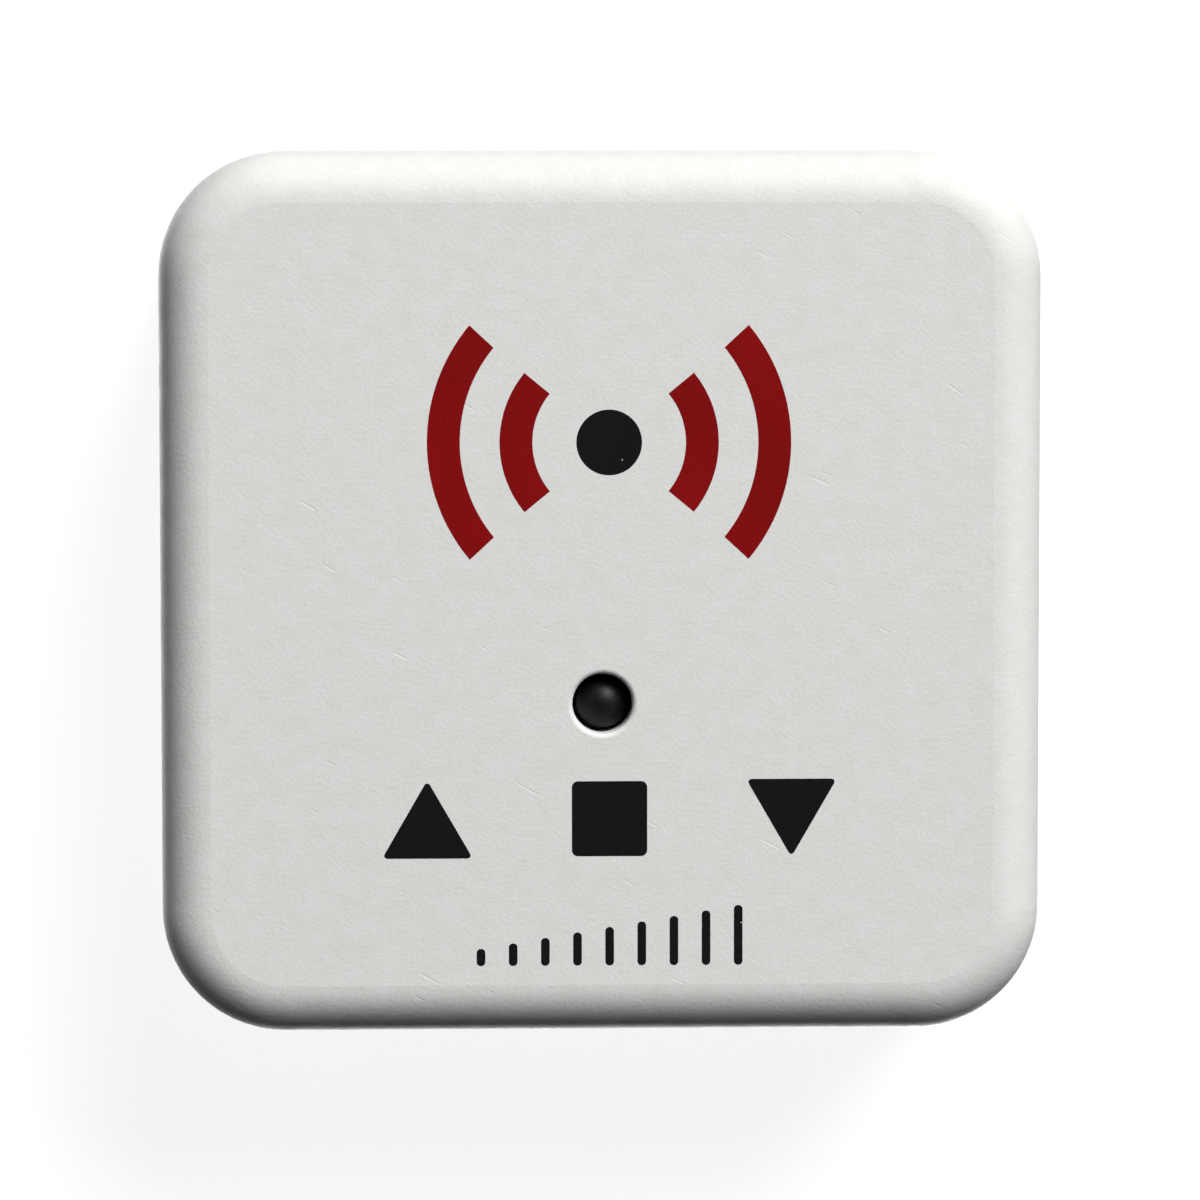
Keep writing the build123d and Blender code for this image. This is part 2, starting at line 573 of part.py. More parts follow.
def clamp_screw():
    """One slotted clamping screw, held under its head by the shelf of its pole."""
    seat = SHELF_LOW - THREAD_GAP
    head_low = seat - CLAMP_HEAD_HEIGHT
    head = rod(CLAMP_HEAD_DIAMETER, head_low, seat)
    head = chamfer(head.edges().group_by(Axis.Z)[0], CLAMP_HEAD_HEIGHT / 8)
    slot_end = head_low + CLAMP_SLOT_DEPTH
    head -= block(2 * CLAMP_HEAD_DIAMETER, CLAMP_SLOT_WIDTH, head_low - OVERRUN, slot_end)
    return Pos(0, CLAMP_Y, 0) * (head + rod(CLAMP_SCREW_DIAMETER, seat, BAR_LOW - CAGE_END_GAP))


def clamp_cage():
    """One rising cage: a short square tube along Y whose near wall is threaded on the screw."""
    cage = block(CAGE_WIDTH, CAGE_DEPTH, CAGE_LOW, CAGE_HIGH)
    half_window = CAGE_WIDTH / 2 - CAGE_SIDE_WALL
    window_low = CAGE_LOW + CAGE_SCREW_WALL
    cage -= cuboid(-half_window, half_window, -CAGE_DEPTH, CAGE_DEPTH, window_low, ENTRY_HIGH)
    cage -= rod(CLAMP_SCREW_DIAMETER + 2 * THREAD_RUNNING_GAP, CAGE_LOW - OVERRUN, window_low)
    return Pos(0, CLAMP_Y, 0) * cage


# Button, push switch and light


def status_button():
    """The smoked cap: dome, shaft, retaining flange and the lug over the light."""
    shaft_radius = BUTTON_DIAMETER / 2
    dome_radius = (shaft_radius ** 2 + DOME_RISE ** 2) / (2 * DOME_RISE)
    shaft_top = BUTTON_TOP - DOME_RISE
    ball = Pos(0, 0, BUTTON_TOP - dome_radius) * Sphere(dome_radius)
    cap = rod(BUTTON_DIAMETER, shaft_top, BUTTON_TOP) & ball
    cap += rod(BUTTON_DIAMETER, FLANGE_TOP, shaft_top)
    flange_low = FLANGE_TOP - FLANGE_THICKNESS
    cap += rod(FLANGE_DIAMETER, flange_low, FLANGE_TOP)
    cap += Pos(LUG_REACH / 2, 0, 0) * block(LUG_REACH, LUG_WIDTH, flange_low, FLANGE_TOP)
    cap += rod(PLUNGER_DIAMETER, BOARD_FRONT + PLUNGER_TOP, flange_low)
    return Pos(0, BUTTON_Y, 0) * cap


def switch_base():
    """The moulded base of the push switch, with the well for its snap dome."""
    base = block(SWITCH_SIDE, SWITCH_SIDE, 0, SWITCH_BASE_HEIGHT)
    base -= rod(SWITCH_WELL_DIAMETER, SWITCH_FLOOR, SWITCH_BASE_HEIGHT + OVERRUN)
    return on_board_front(0, BUTTON_Y) * base


def switch_plate():
    """The sheet-metal cover of the switch, with two tabs bent down its sides."""
    plate = block(SWITCH_SIDE, SWITCH_SIDE, SWITCH_BASE_HEIGHT, SWITCH_TOP)
    half_tab = SWITCH_TAB_WIDTH / 2
    edge = SWITCH_SIDE / 2
    tab_end = edge + SWITCH_PLATE_THICKNESS
    tab = cuboid(-half_tab, half_tab, edge, tab_end, SWITCH_TOP - SWITCH_TAB_DROP, SWITCH_TOP)
    plate += [tab, mirror(tab, Plane.XZ)]
    plate -= rod(PLUNGER_DIAMETER + 2 * PLUNGER_GAP, 0, SWITCH_TOP + OVERRUN)
    return on_board_front(0, BUTTON_Y) * plate


def switch_dome():
    """The snap disc: a dished disc of spring sheet that stands on its rim on the well's floor."""
    rim = SWITCH_WELL_DIAMETER / 2 - PLUNGER_GAP
    dish = Cone(rim, rim / 2, SNAP_DOME_RISE, align=(Align.CENTER, Align.CENTER, Align.MIN))
    disc = dish - Pos(0, 0, -SNAP_DOME_THICKNESS) * dish
    return on_board_front(0, BUTTON_Y) * Pos(0, 0, SWITCH_FLOOR) * disc


def switch_plunger():
    """The switch's own plunger, which the button cap stands on."""
    flange_low = SWITCH_FLOOR + SNAP_DOME_RISE + PLUNGER_GAP
    plunger = rod(PLUNGER_FLANGE_DIAMETER, flange_low, flange_low + PLUNGER_FLANGE_THICKNESS)
    plunger += rod(PLUNGER_DIAMETER, flange_low, PLUNGER_TOP)
    return on_board_front(0, BUTTON_Y) * plunger


def switch_legs():
    """Four bent legs that carry the switch on the board."""
    places = []
    for y in (-SWITCH_LEG_SPACING / 2, SWITCH_LEG_SPACING / 2):
        places.append(Pos(0, y, 0) * leg(SWITCH_SIDE / 2, SWITCH_BASE_HEIGHT / 2, SWITCH_LEG_WIDTH))
    places += [mirror(one, Plane.YZ) for one in places]
    return [on_board_front(0, BUTTON_Y) * one for one in places]


def status_led():
    """The light: a small square cup that faces the lug."""
    led = block(LED_SIDE, LED_SIDE, 0, LED_HEIGHT)
    led -= rod(LED_CUP_DIAMETER, LED_HEIGHT - LED_CUP_DEPTH, LED_HEIGHT + OVERRUN)
    return on_board_front(LED_DISTANCE, BUTTON_Y) * led


# Circuit board and radio module


def main_board():
    """The board, with its boss holes and a hole for every lead that passes through."""
    board = block(BOARD_SIDE, BOARD_SIDE, BOARD_BACK, BOARD_FRONT, BOARD_CORNER)
    low = BOARD_BACK - OVERRUN
    high = BOARD_FRONT + OVERRUN
    boss_hole = rod(BOSS_PIN_DIAMETER + BOARD_HOLE_SLACK, low, high)
    board -= in_four_corners(Pos(BOSS_OFFSET, BOSS_OFFSET, 0) * boss_hole)
    bar_hole = rod(sqrt(BAR_PIN_WIDTH ** 2 + BAR_THICKNESS ** 2) + BOARD_HOLE_SLACK, low, high)
    board -= [Pos(x, BAR_PIN_Y, 0) * bar_hole for x in POLE_PLACES]
    lead_hole = rod(LEAD_DIAMETER + BOARD_HOLE_SLACK, low, high)
    board -= [Pos(*place, 0) * lead_hole for place in round_lead_places()]
    pin_hole = rod(sqrt(2) * RELAY_PIN_SIDE + BOARD_HOLE_SLACK, low, high)
    board -= [Pos(*place, 0) * pin_hole for place in relay_pin_places()]
    return board


def round_lead_places():
    """Where the capacitor and varistor leads go through the board."""
    places = []
    for shares in (LARGE_CAPACITOR_PLACE_SHARES, SMALL_CAPACITOR_PLACE_SHARES):
        places += [place_of(shares, x, 0) for x in (-LEAD_SPACING / 2, LEAD_SPACING / 2)]
    half = VARISTOR_LEAD_SPACING / 2
    return places + [place_of(VARISTOR_PLACE_SHARES, x, 0) for x in (-half, half)]


def radio_board():
    """The radio module's own board, with half-round solder pads along three edges."""
    board = cuboid(-RADIO_WIDTH / 2, RADIO_WIDTH / 2, RADIO_LOW_Y, RADIO_HIGH_Y, 0, RADIO_THICKNESS)
    pad = rod(PAD_DIAMETER, -OVERRUN, RADIO_THICKNESS + OVERRUN)
    first = RADIO_LOW_Y + PAD_PITCH
    for side in (-RADIO_WIDTH / 2, RADIO_WIDTH / 2):
        board -= [Pos(side, first + count * PAD_PITCH, 0) * pad for count in range(PAD_COUNT)]
    return Pos(0, 0, BOARD_FRONT) * board


def radio_shield():
    """The drawn sheet-metal can over the radio's chips."""
    length = SHIELD_HIGH_Y - SHIELD_LOW_Y
    can = block(SHIELD_WIDTH, length, 0, SHIELD_HEIGHT, SHIELD_CORNER)
    can = chamfer(can.edges().group_by(Axis.Z)[-1], SHIELD_SHEET)
    inner_width = SHIELD_WIDTH - 2 * SHIELD_SHEET
    inner_length = length - 2 * SHIELD_SHEET
    can -= block(inner_width, inner_length, 0, SHIELD_HEIGHT - SHIELD_SHEET, SHIELD_CORNER - SHIELD_SHEET)
    return Pos(0, (SHIELD_LOW_Y + SHIELD_HIGH_Y) / 2, BOARD_FRONT + RADIO_THICKNESS) * can


def radio_antenna():
    """The folded copper trace on the end of the radio board."""
    low = RADIO_HIGH_Y - TRACE_EDGE_GAP - TRACE_REACH
    high = RADIO_HIGH_Y - TRACE_EDGE_GAP
    start = -TRACE_TURNS * TRACE_STEP
    half = TRACE_WIDTH / 2
    points = [(start, low)]
    for turn in range(TRACE_TURNS):
        x = start + 2 * turn * TRACE_STEP
        points += [(x, high), (x + TRACE_STEP, high), (x + TRACE_STEP, low), (x + 2 * TRACE_STEP, low)]
    trace = Part()
    for (x_1, y_1), (x_2, y_2) in zip(points, points[1:]):
        run = Rectangle(abs(x_2 - x_1) + 2 * half, abs(y_2 - y_1) + 2 * half)
        trace += Pos((x_1 + x_2) / 2, (y_1 + y_2) / 2, 0) * extrude(run, TRACE_THICKNESS)
    return Pos(0, 0, BOARD_FRONT + RADIO_THICKNESS) * trace


# Relay


def relay_case():
    """The relay's moulded cover."""
    cover = block(RELAY_LENGTH, RELAY_WIDTH, RELAY_STANDOFF, RELAY_HEIGHT, RELAY_CORNER)
    cover = chamfer(cover.edges().group_by(Axis.Z)[-1], RELAY_WALL / 2)
    inner_length = RELAY_LENGTH - 2 * RELAY_WALL
    inner_width = RELAY_WIDTH - 2 * RELAY_WALL
    return cover - block(inner_length, inner_width, 0, RELAY_HEIGHT - RELAY_WALL)


def relay_base():
    """The moulded base, with a way through for each pin and contact post."""
    shrink = 2 * (RELAY_WALL + RELAY_BASE_GAP)
    base = block(RELAY_LENGTH - shrink, RELAY_WIDTH - shrink, 0, RELAY_BASE_THICKNESS)
    room = 2 * RELAY_BASE_GAP
    pin_way = block(RELAY_PIN_SIDE + room, RELAY_PIN_SIDE + room, 0, RELAY_BASE_THICKNESS)
    base -= [Pos(x, y, 0) * pin_way for x, y in relay_pins_xy()]
    post_way = block(POST_THICKNESS + room, POST_WIDTH + room, 0, RELAY_BASE_THICKNESS)
    return base - [Pos(x, 0, 0) * post_way for x in relay_posts_x()]


def relay_pins_xy():
    """The two coil pins and the common pin, in the relay's own frame."""
    x = RELAY_LENGTH / 2 - RELAY_PIN_INSET
    y = RELAY_WIDTH / 2 - RELAY_PIN_INSET
    return [(-x, -y), (-x, y), (0, y)]


def relay_posts_x():
    """The middles of the open and the closed contact post along the relay."""
    return [OPEN_POST_FACE - POST_THICKNESS / 2, CLOSED_POST_FACE + POST_THICKNESS / 2]


def relay_pin_places():
    """Where the relay's pins and posts go through the board."""
    places = [place_of(RELAY_PLACE_SHARES, x, y) for x, y in relay_pins_xy()]
    return places + [place_of(RELAY_PLACE_SHARES, x, 0) for x in relay_posts_x()]


def relay_pins():
    """The square pins of the coil and of the common contact."""
    pin = block(RELAY_PIN_SIDE, RELAY_PIN_SIDE, -LEAD_END, RELAY_BASE_THICKNESS)
    return [Pos(x, y, 0) * pin for x, y in relay_pins_xy()]


def relay_contacts():
    """The two fixed contacts: a flat post above the base, narrowed to a pin below it."""
    post = block(POST_THICKNESS, POST_WIDTH, 0, RELAY_BASE_THICKNESS + POST_HEIGHT)
    post += block(POST_THICKNESS, RELAY_PIN_SIDE, -LEAD_END, 0)
    return [Pos(x, 0, 0) * post for x in relay_posts_x()]


def relay_bobbin():
    """The coil former: a tube with a square flange at each end."""
    tube_diameter = CORE_DIAMETER + 2 * (CORE_GAP + BOBBIN_TUBE)
    half_width = BOBBIN_WIDTH / 2
    half_height = BOBBIN_HEIGHT / 2
    flange = cuboid(0, BOBBIN_FLANGE, -half_width, half_width, -half_height, half_height)
    former = rod_along_x(tube_diameter, 0, BOBBIN_LENGTH)
    former += [flange, Pos(BOBBIN_LENGTH - BOBBIN_FLANGE, 0, 0) * flange]
    former -= rod_along_x(CORE_DIAMETER + 2 * CORE_GAP, -OVERRUN, BOBBIN_LENGTH + OVERRUN)
    return Pos(BOBBIN_BACK, 0, COIL_LEVEL) * former


def relay_winding():
    """The wound wire, as one solid of its outer shape."""
    tube_diameter = CORE_DIAMETER + 2 * (CORE_GAP + BOBBIN_TUBE)
    low = BOBBIN_FLANGE + CORE_GAP
    high = BOBBIN_LENGTH - BOBBIN_FLANGE - CORE_GAP
    winding = rod_along_x(WINDING_DIAMETER, low, high) - rod_along_x(tube_diameter, low, high)
    return Pos(BOBBIN_BACK, 0, COIL_LEVEL) * winding


def relay_yoke():
    """The iron path: an angle plate with a rounded nose to tip on and the core in its short leg."""
    half = YOKE_WIDTH / 2
    low = RELAY_BASE_THICKNESS + RELAY_END_GAP
    yoke = cuboid(YOKE_BACK, BOBBIN_BACK, -half, half, low, YOKE_HIGH)
    top = cuboid(YOKE_BACK, ARMATURE_FACE - ARMATURE_PIVOT_GAP, -half, half, YOKE_LOW, YOKE_HIGH)
    nose = top.edges().filter_by(Axis.Y).group_by(Axis.Z)[-1].sort_by(Axis.X)[-1]
    yoke += fillet(nose, YOKE_NOSE_RADIUS)
    at_coil = Pos(0, 0, COIL_LEVEL)
    yoke += at_coil * rod_along_x(CORE_DIAMETER, YOKE_BACK, POLE_FACE)
    return yoke + at_coil * rod_along_x(POLE_DISC_DIAMETER, POLE_FACE - POLE_DISC_THICKNESS, POLE_FACE)


def relay_armature():
    """The iron plate that tips against the pole face, pivoted on the yoke's far edge."""
    half = ARMATURE_WIDTH / 2
    high = YOKE_HIGH + ARMATURE_OVERLAP
    return cuboid(ARMATURE_FACE, BLADE_FACE, -half, half, ARMATURE_LOW, high)


def relay_blade():
    """The spring blade on the armature, with a contact on each side of its tip."""
    half = BLADE_WIDTH / 2
    tip = RELAY_BASE_THICKNESS + BLADE_TIP_GAP
    blade = cuboid(BLADE_FACE, BLADE_FACE + BLADE_THICKNESS, -half, half, tip, YOKE_HIGH)
    reach = BLADE_THICKNESS + CONTACT_THICKNESS
    at_contact = Pos(BLADE_FACE, 0, CONTACT_LEVEL)
    return blade + at_contact * rod_along_x(CONTACT_DIAMETER, -CONTACT_THICKNESS, reach)


# Round and moulded components


def capacitor_can(diameter, height):
    """An aluminium can with a groove round its foot, a bevelled top and a well for its seal."""
    can = rod(diameter, CAN_SKIRT, height)
    can = chamfer(can.edges().group_by(Axis.Z)[-1], CAN_TOP_CHAMFER)
    groove_top = CAN_GROOVE_LEVEL + CAN_GROOVE_WIDTH
    groove = rod(diameter + OVERRUN, CAN_GROOVE_LEVEL, groove_top)
    can -= groove - rod(diameter - 2 * CAN_GROOVE_DEPTH, CAN_GROOVE_LEVEL, groove_top)
    return can - rod(diameter - 2 * CAN_SKIRT, 0, SEAL_DEPTH)


def capacitor_seal(diameter):
    """The rubber bung in the mouth of a can, which stands on the board."""
    return rod(diameter - 2 * CAN_SKIRT, 0, SEAL_DEPTH)


def round_leads(spacing, top):
    """Two round leads down through the board."""
    lead = rod(LEAD_DIAMETER, -LEAD_END, top)
    return [Pos(-spacing / 2, 0, 0) * lead, Pos(spacing / 2, 0, 0) * lead]


def inductor_core():
    """The ferrite drum of the inductor."""
    core = rod(INDUCTOR_SPOOL, 0, INDUCTOR_HEIGHT)
    core += rod(INDUCTOR_DIAMETER, 0, INDUCTOR_FLANGE)
    return core + rod(INDUCTOR_DIAMETER, INDUCTOR_HEIGHT - INDUCTOR_FLANGE, INDUCTOR_HEIGHT)


def inductor_winding():
    """The inductor's wire, as one solid of its outer shape."""
    high = INDUCTOR_HEIGHT - INDUCTOR_FLANGE
    return rod(INDUCTOR_WINDING_DIAMETER, INDUCTOR_FLANGE, high) - rod(INDUCTOR_SPOOL, INDUCTOR_FLANGE, high)


def varistor():
    """The coated disc, with the coating run down onto its leads."""
    disc = rod(VARISTOR_DIAMETER, -VARISTOR_THICKNESS / 2, VARISTOR_THICKNESS / 2)
    disc = chamfer(disc.edges().filter_by(GeomType.CIRCLE), VARISTOR_EDGE)
    level = VARISTOR_LIFT + VARISTOR_DIAMETER / 2
    body = Pos(0, 0, level) * Rot(90, 0, 0) * disc
    skirt = rod(VARISTOR_SKIRT_DIAMETER, VARISTOR_LIFT, level)
    half = VARISTOR_LEAD_SPACING / 2
    return body + [Pos(-half, 0, 0) * skirt, Pos(half, 0, 0) * skirt]


def package(size):
    """A moulded package, drafted up and down from its middle as it leaves the mould."""
    length, width, height = size
    middle = (PACKAGE_LIFT + height) / 2
    rise = height - middle
    half = extrude(Rectangle(length, width), rise, taper=PACKAGE_TAPER_ANGLE)
    return Pos(0, 0, middle) * (half + mirror(half, Plane.XY))


def marked_package(size):
    """A moulded package with the round dimple that marks its first leg."""
    length, width, height = size
    x = PACKAGE_NOTCH_DIAMETER - length / 2
    y = PACKAGE_NOTCH_DIAMETER - width / 2
    dimple = rod(PACKAGE_NOTCH_DIAMETER, height - PACKAGE_NOTCH_DEPTH, height + OVERRUN)
    return package(size) - Pos(x, y, 0) * dimple


def leg(start, level, width):
    """One bent leg along +X: a shoulder from a package's side, a drop and a foot."""
    t = LEG_THICKNESS
    end = start + LEG_REACH
    bend = end - LEG_FOOT
    outline = Polyline(
        (start, level), (bend, level), (bend, t), (end, t), (end, 0),
        (bend - t, 0), (bend - t, level - t), (start, level - t), close=True)
    return extrude(Plane.XZ * make_face(outline), width / 2, both=True)


def legs_along_y(size, places, width):
    """Legs on both long sides of a package, at the given places along its length."""
    level = (PACKAGE_LIFT + size[2]) / 2 + LEG_THICKNESS / 2
    one = Rot(0, 0, 90) * leg(size[1] / 2, level, width)
    return [Pos(x, 0, 0) * side for x in places for side in (one, mirror(one, Plane.XZ))]


def legs_along_x(size, width):
    """One leg or tab at each end of a package."""
    one = leg(size[0] / 2, (PACKAGE_LIFT + size[2]) / 2 + LEG_THICKNESS / 2, width)
    return [one, mirror(one, Plane.YZ)]


def chip_legs():
    """All bent legs of the moulded packages."""
    groups = []
    chip_rows = [(row - 1.5) * LEG_PITCH for row in range(4)]
    groups.append((REGULATOR_PLACE_SHARES, legs_along_y(REGULATOR_SIZE, chip_rows, LEG_WIDTH)))
    bridge_rows = [-BRIDGE_LEG_SPACING / 2, BRIDGE_LEG_SPACING / 2]
    groups.append((BRIDGE_PLACE_SHARES, legs_along_y(BRIDGE_SIZE, bridge_rows, 2 * LEG_WIDTH)))
    opto_rows = [-OPTOCOUPLER_LEG_SPACING / 2, OPTOCOUPLER_LEG_SPACING / 2]
    groups.append((OPTOCOUPLER_PLACE_SHARES, legs_along_y(OPTOCOUPLER_SIZE, opto_rows, LEG_WIDTH)))
    half = TRANSISTOR_LEG_SPACING / 2
    for shares in TRANSISTOR_PLACES_SHARES:
        near = legs_along_y(TRANSISTOR_SIZE, [-half, half], LEG_WIDTH)[::2]
        groups.append((shares, near + legs_along_y(TRANSISTOR_SIZE, [0], LEG_WIDTH)[1:]))
    for shares in DIODE_PLACES_SHARES:
        groups.append((shares, legs_along_x(DIODE_SIZE, DIODE_TAB_WIDTH)))
    return [on_board_back(shares) * one for shares, group in groups for one in group]


def fuse():
    """A square ceramic fuse with a slightly larger cap at each end."""
    length, width, height = FUSE_SIZE
    body = block(length, width - 2 * LEG_THICKNESS, LEG_THICKNESS, height - LEG_THICKNESS)
    cap_place = (length - FUSE_CAP_LENGTH) / 2
    cap = block(FUSE_CAP_LENGTH, width, 0, height)
    return body + [Pos(-cap_place, 0, 0) * cap, Pos(cap_place, 0, 0) * cap]


def chips(size, places):
    """A set of small chip components on the back side of the board."""
    one = block(size[0], size[1], 0, size[2])
    return [on_board_back(shares) * one for shares in places]


# Every piece under its own name


def all_pieces():
    """The name of each piece and its solid or solids."""
    relay = on_board_back(RELAY_PLACE_SHARES)
    large = on_board_back(LARGE_CAPACITOR_PLACE_SHARES)
    small = on_board_back(SMALL_CAPACITOR_PLACE_SHARES)
    inductor = on_board_back(INDUCTOR_PLACE_SHARES)
    varistor_place = on_board_back(VARISTOR_PLACE_SHARES)
    capacitor_leads = [place * lead for place in (large, small) for lead in round_leads(LEAD_SPACING, 0)]
    varistor_leads = round_leads(VARISTOR_LEAD_SPACING, VARISTOR_LIFT)
    transistors = [on_board_back(shares) * package(TRANSISTOR_SIZE) for shares in TRANSISTOR_PLACES_SHARES]
    pieces = {
        "front_cover": [front_cover()],
        "back_cover": [back_cover()],
        "case_screws": in_four_corners(Pos(BOSS_OFFSET, BOSS_OFFSET, 0) * case_screw()),
        "main_board": [main_board()],
        "terminal_block": [terminal_block()],
        "terminal_bars": [Pos(x, 0, 0) * terminal_bar() for x in POLE_PLACES],
        "status_button": [status_button()],
        "switch_base": [switch_base()],
        "switch_plate": [switch_plate()],
        "switch_dome": [switch_dome()],
        "switch_plunger": [switch_plunger()],
        "switch_legs": switch_legs(),
        "status_led": [status_led()],
        "radio_board": [radio_board()],
        "radio_shield": [radio_shield()],
        "radio_antenna": [radio_antenna()],
        "relay_case": [relay * relay_case()],
        "relay_base": [relay * relay_base()],
        "relay_pins": [relay * pin for pin in relay_pins()],
        "relay_contacts": [relay * post for post in relay_contacts()],
        "relay_bobbin": [relay * relay_bobbin()],
        "relay_winding": [relay * relay_winding()],
        "relay_yoke": [relay * relay_yoke()],
        "relay_armature": [relay * relay_armature()],
        "relay_blade": [relay * relay_blade()],
        "large_capacitor": [large * capacitor_can(LARGE_CAPACITOR_DIAMETER, LARGE_CAPACITOR_HEIGHT)],
        "small_capacitor": [small * capacitor_can(SMALL_CAPACITOR_DIAMETER, SMALL_CAPACITOR_HEIGHT)],
        "capacitor_seals": [
            large * capacitor_seal(LARGE_CAPACITOR_DIAMETER),
            small * capacitor_seal(SMALL_CAPACITOR_DIAMETER)],
        "capacitor_leads": capacitor_leads,
        "inductor_core": [inductor * inductor_core()],
        "inductor_winding": [inductor * inductor_winding()],
        "varistor": [varistor_place * varistor()],
        "varistor_leads": [varistor_place * lead for lead in varistor_leads],
        "bridge_rectifier": [on_board_back(BRIDGE_PLACE_SHARES) * marked_package(BRIDGE_SIZE)],
        "regulator_chip": [on_board_back(REGULATOR_PLACE_SHARES) * marked_package(REGULATOR_SIZE)],
        "optocoupler": [on_board_back(OPTOCOUPLER_PLACE_SHARES) * marked_package(OPTOCOUPLER_SIZE)],
        "fuse": [on_board_back(FUSE_PLACE_SHARES) * fuse()],
        "diodes": [on_board_back(shares) * package(DIODE_SIZE) for shares in DIODE_PLACES_SHARES],
        "transistors": transistors,
        "chip_legs": chip_legs(),
        "chip_resistors": chips(CHIP_RESISTOR_SIZE, CHIP_RESISTOR_PLACES_SHARES),
        "chip_capacitors": chips(CHIP_CAPACITOR_SIZE, CHIP_CAPACITOR_PLACES_SHARES),
    }
    for number, x in enumerate(POLE_PLACES, start=1):
        pieces[f"clamp_screw_{number}"] = [Pos(x, 0, 0) * clamp_screw()]
        pieces[f"clamp_cage_{number}"] = [Pos(x, 0, 0) * clamp_cage()]
    return pieces


os.makedirs("parts", exist_ok=True)
for name, solids in all_pieces().items():
    shape = solids[0] if len(solids) == 1 else Compound(solids)
    export_step(shape, f"parts/{name}.step")
    print(f"{name}: {len(solids)} of volume {shape.volume:.2f}")
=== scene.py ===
# %% [markdown]
# # A small white radio controller for a garage door
#
# The real object is a moulded plastic box, 52 mm square and 20 mm deep, with softly rolled
# front edges and one black dome that is both push button and light. Its shape was already made
# as solids in CAD. This lesson dresses those solids: it adds the printing and the raised
# terminal numbers, gives every surface a finish made of shader nodes, and sets up the studio.
# Everything is in metres, so a thousandth of a unit is one millimetre.

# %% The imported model
import math

import bpy
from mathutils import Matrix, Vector


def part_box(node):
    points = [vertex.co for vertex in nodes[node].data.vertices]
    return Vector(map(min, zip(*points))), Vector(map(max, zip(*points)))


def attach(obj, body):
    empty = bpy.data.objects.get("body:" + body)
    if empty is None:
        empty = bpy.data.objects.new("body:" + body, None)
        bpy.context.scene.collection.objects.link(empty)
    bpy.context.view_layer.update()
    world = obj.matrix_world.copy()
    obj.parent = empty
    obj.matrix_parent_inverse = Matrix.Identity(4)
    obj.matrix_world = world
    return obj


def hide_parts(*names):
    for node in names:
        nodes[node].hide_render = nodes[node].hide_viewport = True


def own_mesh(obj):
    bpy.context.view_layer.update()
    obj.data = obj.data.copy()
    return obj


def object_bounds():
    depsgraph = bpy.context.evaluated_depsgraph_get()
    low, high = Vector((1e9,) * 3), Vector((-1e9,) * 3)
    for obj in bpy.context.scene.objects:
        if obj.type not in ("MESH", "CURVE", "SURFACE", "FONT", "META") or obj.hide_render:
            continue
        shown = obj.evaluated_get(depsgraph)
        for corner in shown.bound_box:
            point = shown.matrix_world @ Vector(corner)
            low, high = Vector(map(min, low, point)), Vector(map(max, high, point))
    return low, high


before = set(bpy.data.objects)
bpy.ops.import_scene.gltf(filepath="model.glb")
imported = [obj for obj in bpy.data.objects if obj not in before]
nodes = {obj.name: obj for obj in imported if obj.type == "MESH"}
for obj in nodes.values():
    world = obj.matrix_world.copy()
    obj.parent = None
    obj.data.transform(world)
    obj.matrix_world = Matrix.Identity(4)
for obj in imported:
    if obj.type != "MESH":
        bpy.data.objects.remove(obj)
cad_low, cad_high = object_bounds()
MM = 0.001
print(len(nodes), "nodes, from", tuple(cad_low), "to", tuple(cad_high))

# %% [markdown]
# ## The camera
#
# A camera is made first, because everything else is judged through it. The photograph was taken
# from about 30 cm, a little above and to the left of the middle, so that the side walls just
# hide behind the rolled edges. The place and the turn below were fitted to the outline of the
# box. A camera that stood further off, at the same angle, would show the upper wall.

# %% The camera of the photograph
CAMERA_PLACE = (-9.86 * MM, 21.74 * MM, 320.0 * MM)
CAMERA_TURN = (-4.187, -1.859, -0.058)
CAMERA_LENS = 155.67

bpy.ops.object.camera_add(location=CAMERA_PLACE, rotation=[math.radians(turn) for turn in CAMERA_TURN])
camera = bpy.context.active_object
camera.name = "photograph_camera"
camera.data.lens = CAMERA_LENS
camera.data.sensor_width = 36.0
camera.data.clip_start = 0.01
camera.data.clip_end = 20.0
bpy.context.scene.camera = camera
print("camera at", tuple(camera.location), "lens", camera.data.lens)

# %% [markdown]
# ## Small helpers for shader nodes
#
# A finish is a tree of nodes. Writing each node and each link out in full makes long code, so
# small helpers do it. One adds a node and fills its inputs, with either numbers or the outputs
# of other nodes. The next three do a sum, stretch a range and make a noise. The last starts a
# node group, the kind of node that is built once and then used in many materials with other
# values.

# %% Helpers that add nodes
def add_node(tree, kind, links=None, **settings):
    """One shader node, with its settings, and with numbers or other outputs for its inputs."""
    node = tree.nodes.new("ShaderNode" + kind)
    for key, value in settings.items():
        setattr(node, key, value)
    for key, value in (links or {}).items():
        if isinstance(value, bpy.types.NodeSocket):
            tree.links.new(value, node.inputs[key])
        else:
            node.inputs[key].default_value = value
    return node


def sum_of(tree, operation, first, second=0.0):
    """The output of one Math node."""
    return add_node(tree, "Math", {0: first, 1: second}, operation=operation).outputs[0]


def spread(tree, value, low, high, to_low=0.0, to_high=1.0):
    """A value stretched from one range to another, and cut off at its ends."""
    links = {"Value": value, "From Min": low, "From Max": high, "To Min": to_low, "To Max": to_high}
    return add_node(tree, "MapRange", links).outputs["Result"]


def noise(tree, place, scale, detail):
    """Soft noise around one half, with this many cells to a metre."""
    node = add_node(tree, "TexNoise", {"Vector": place, "Scale": scale, "Detail": detail})
    return node.outputs["Fac"]


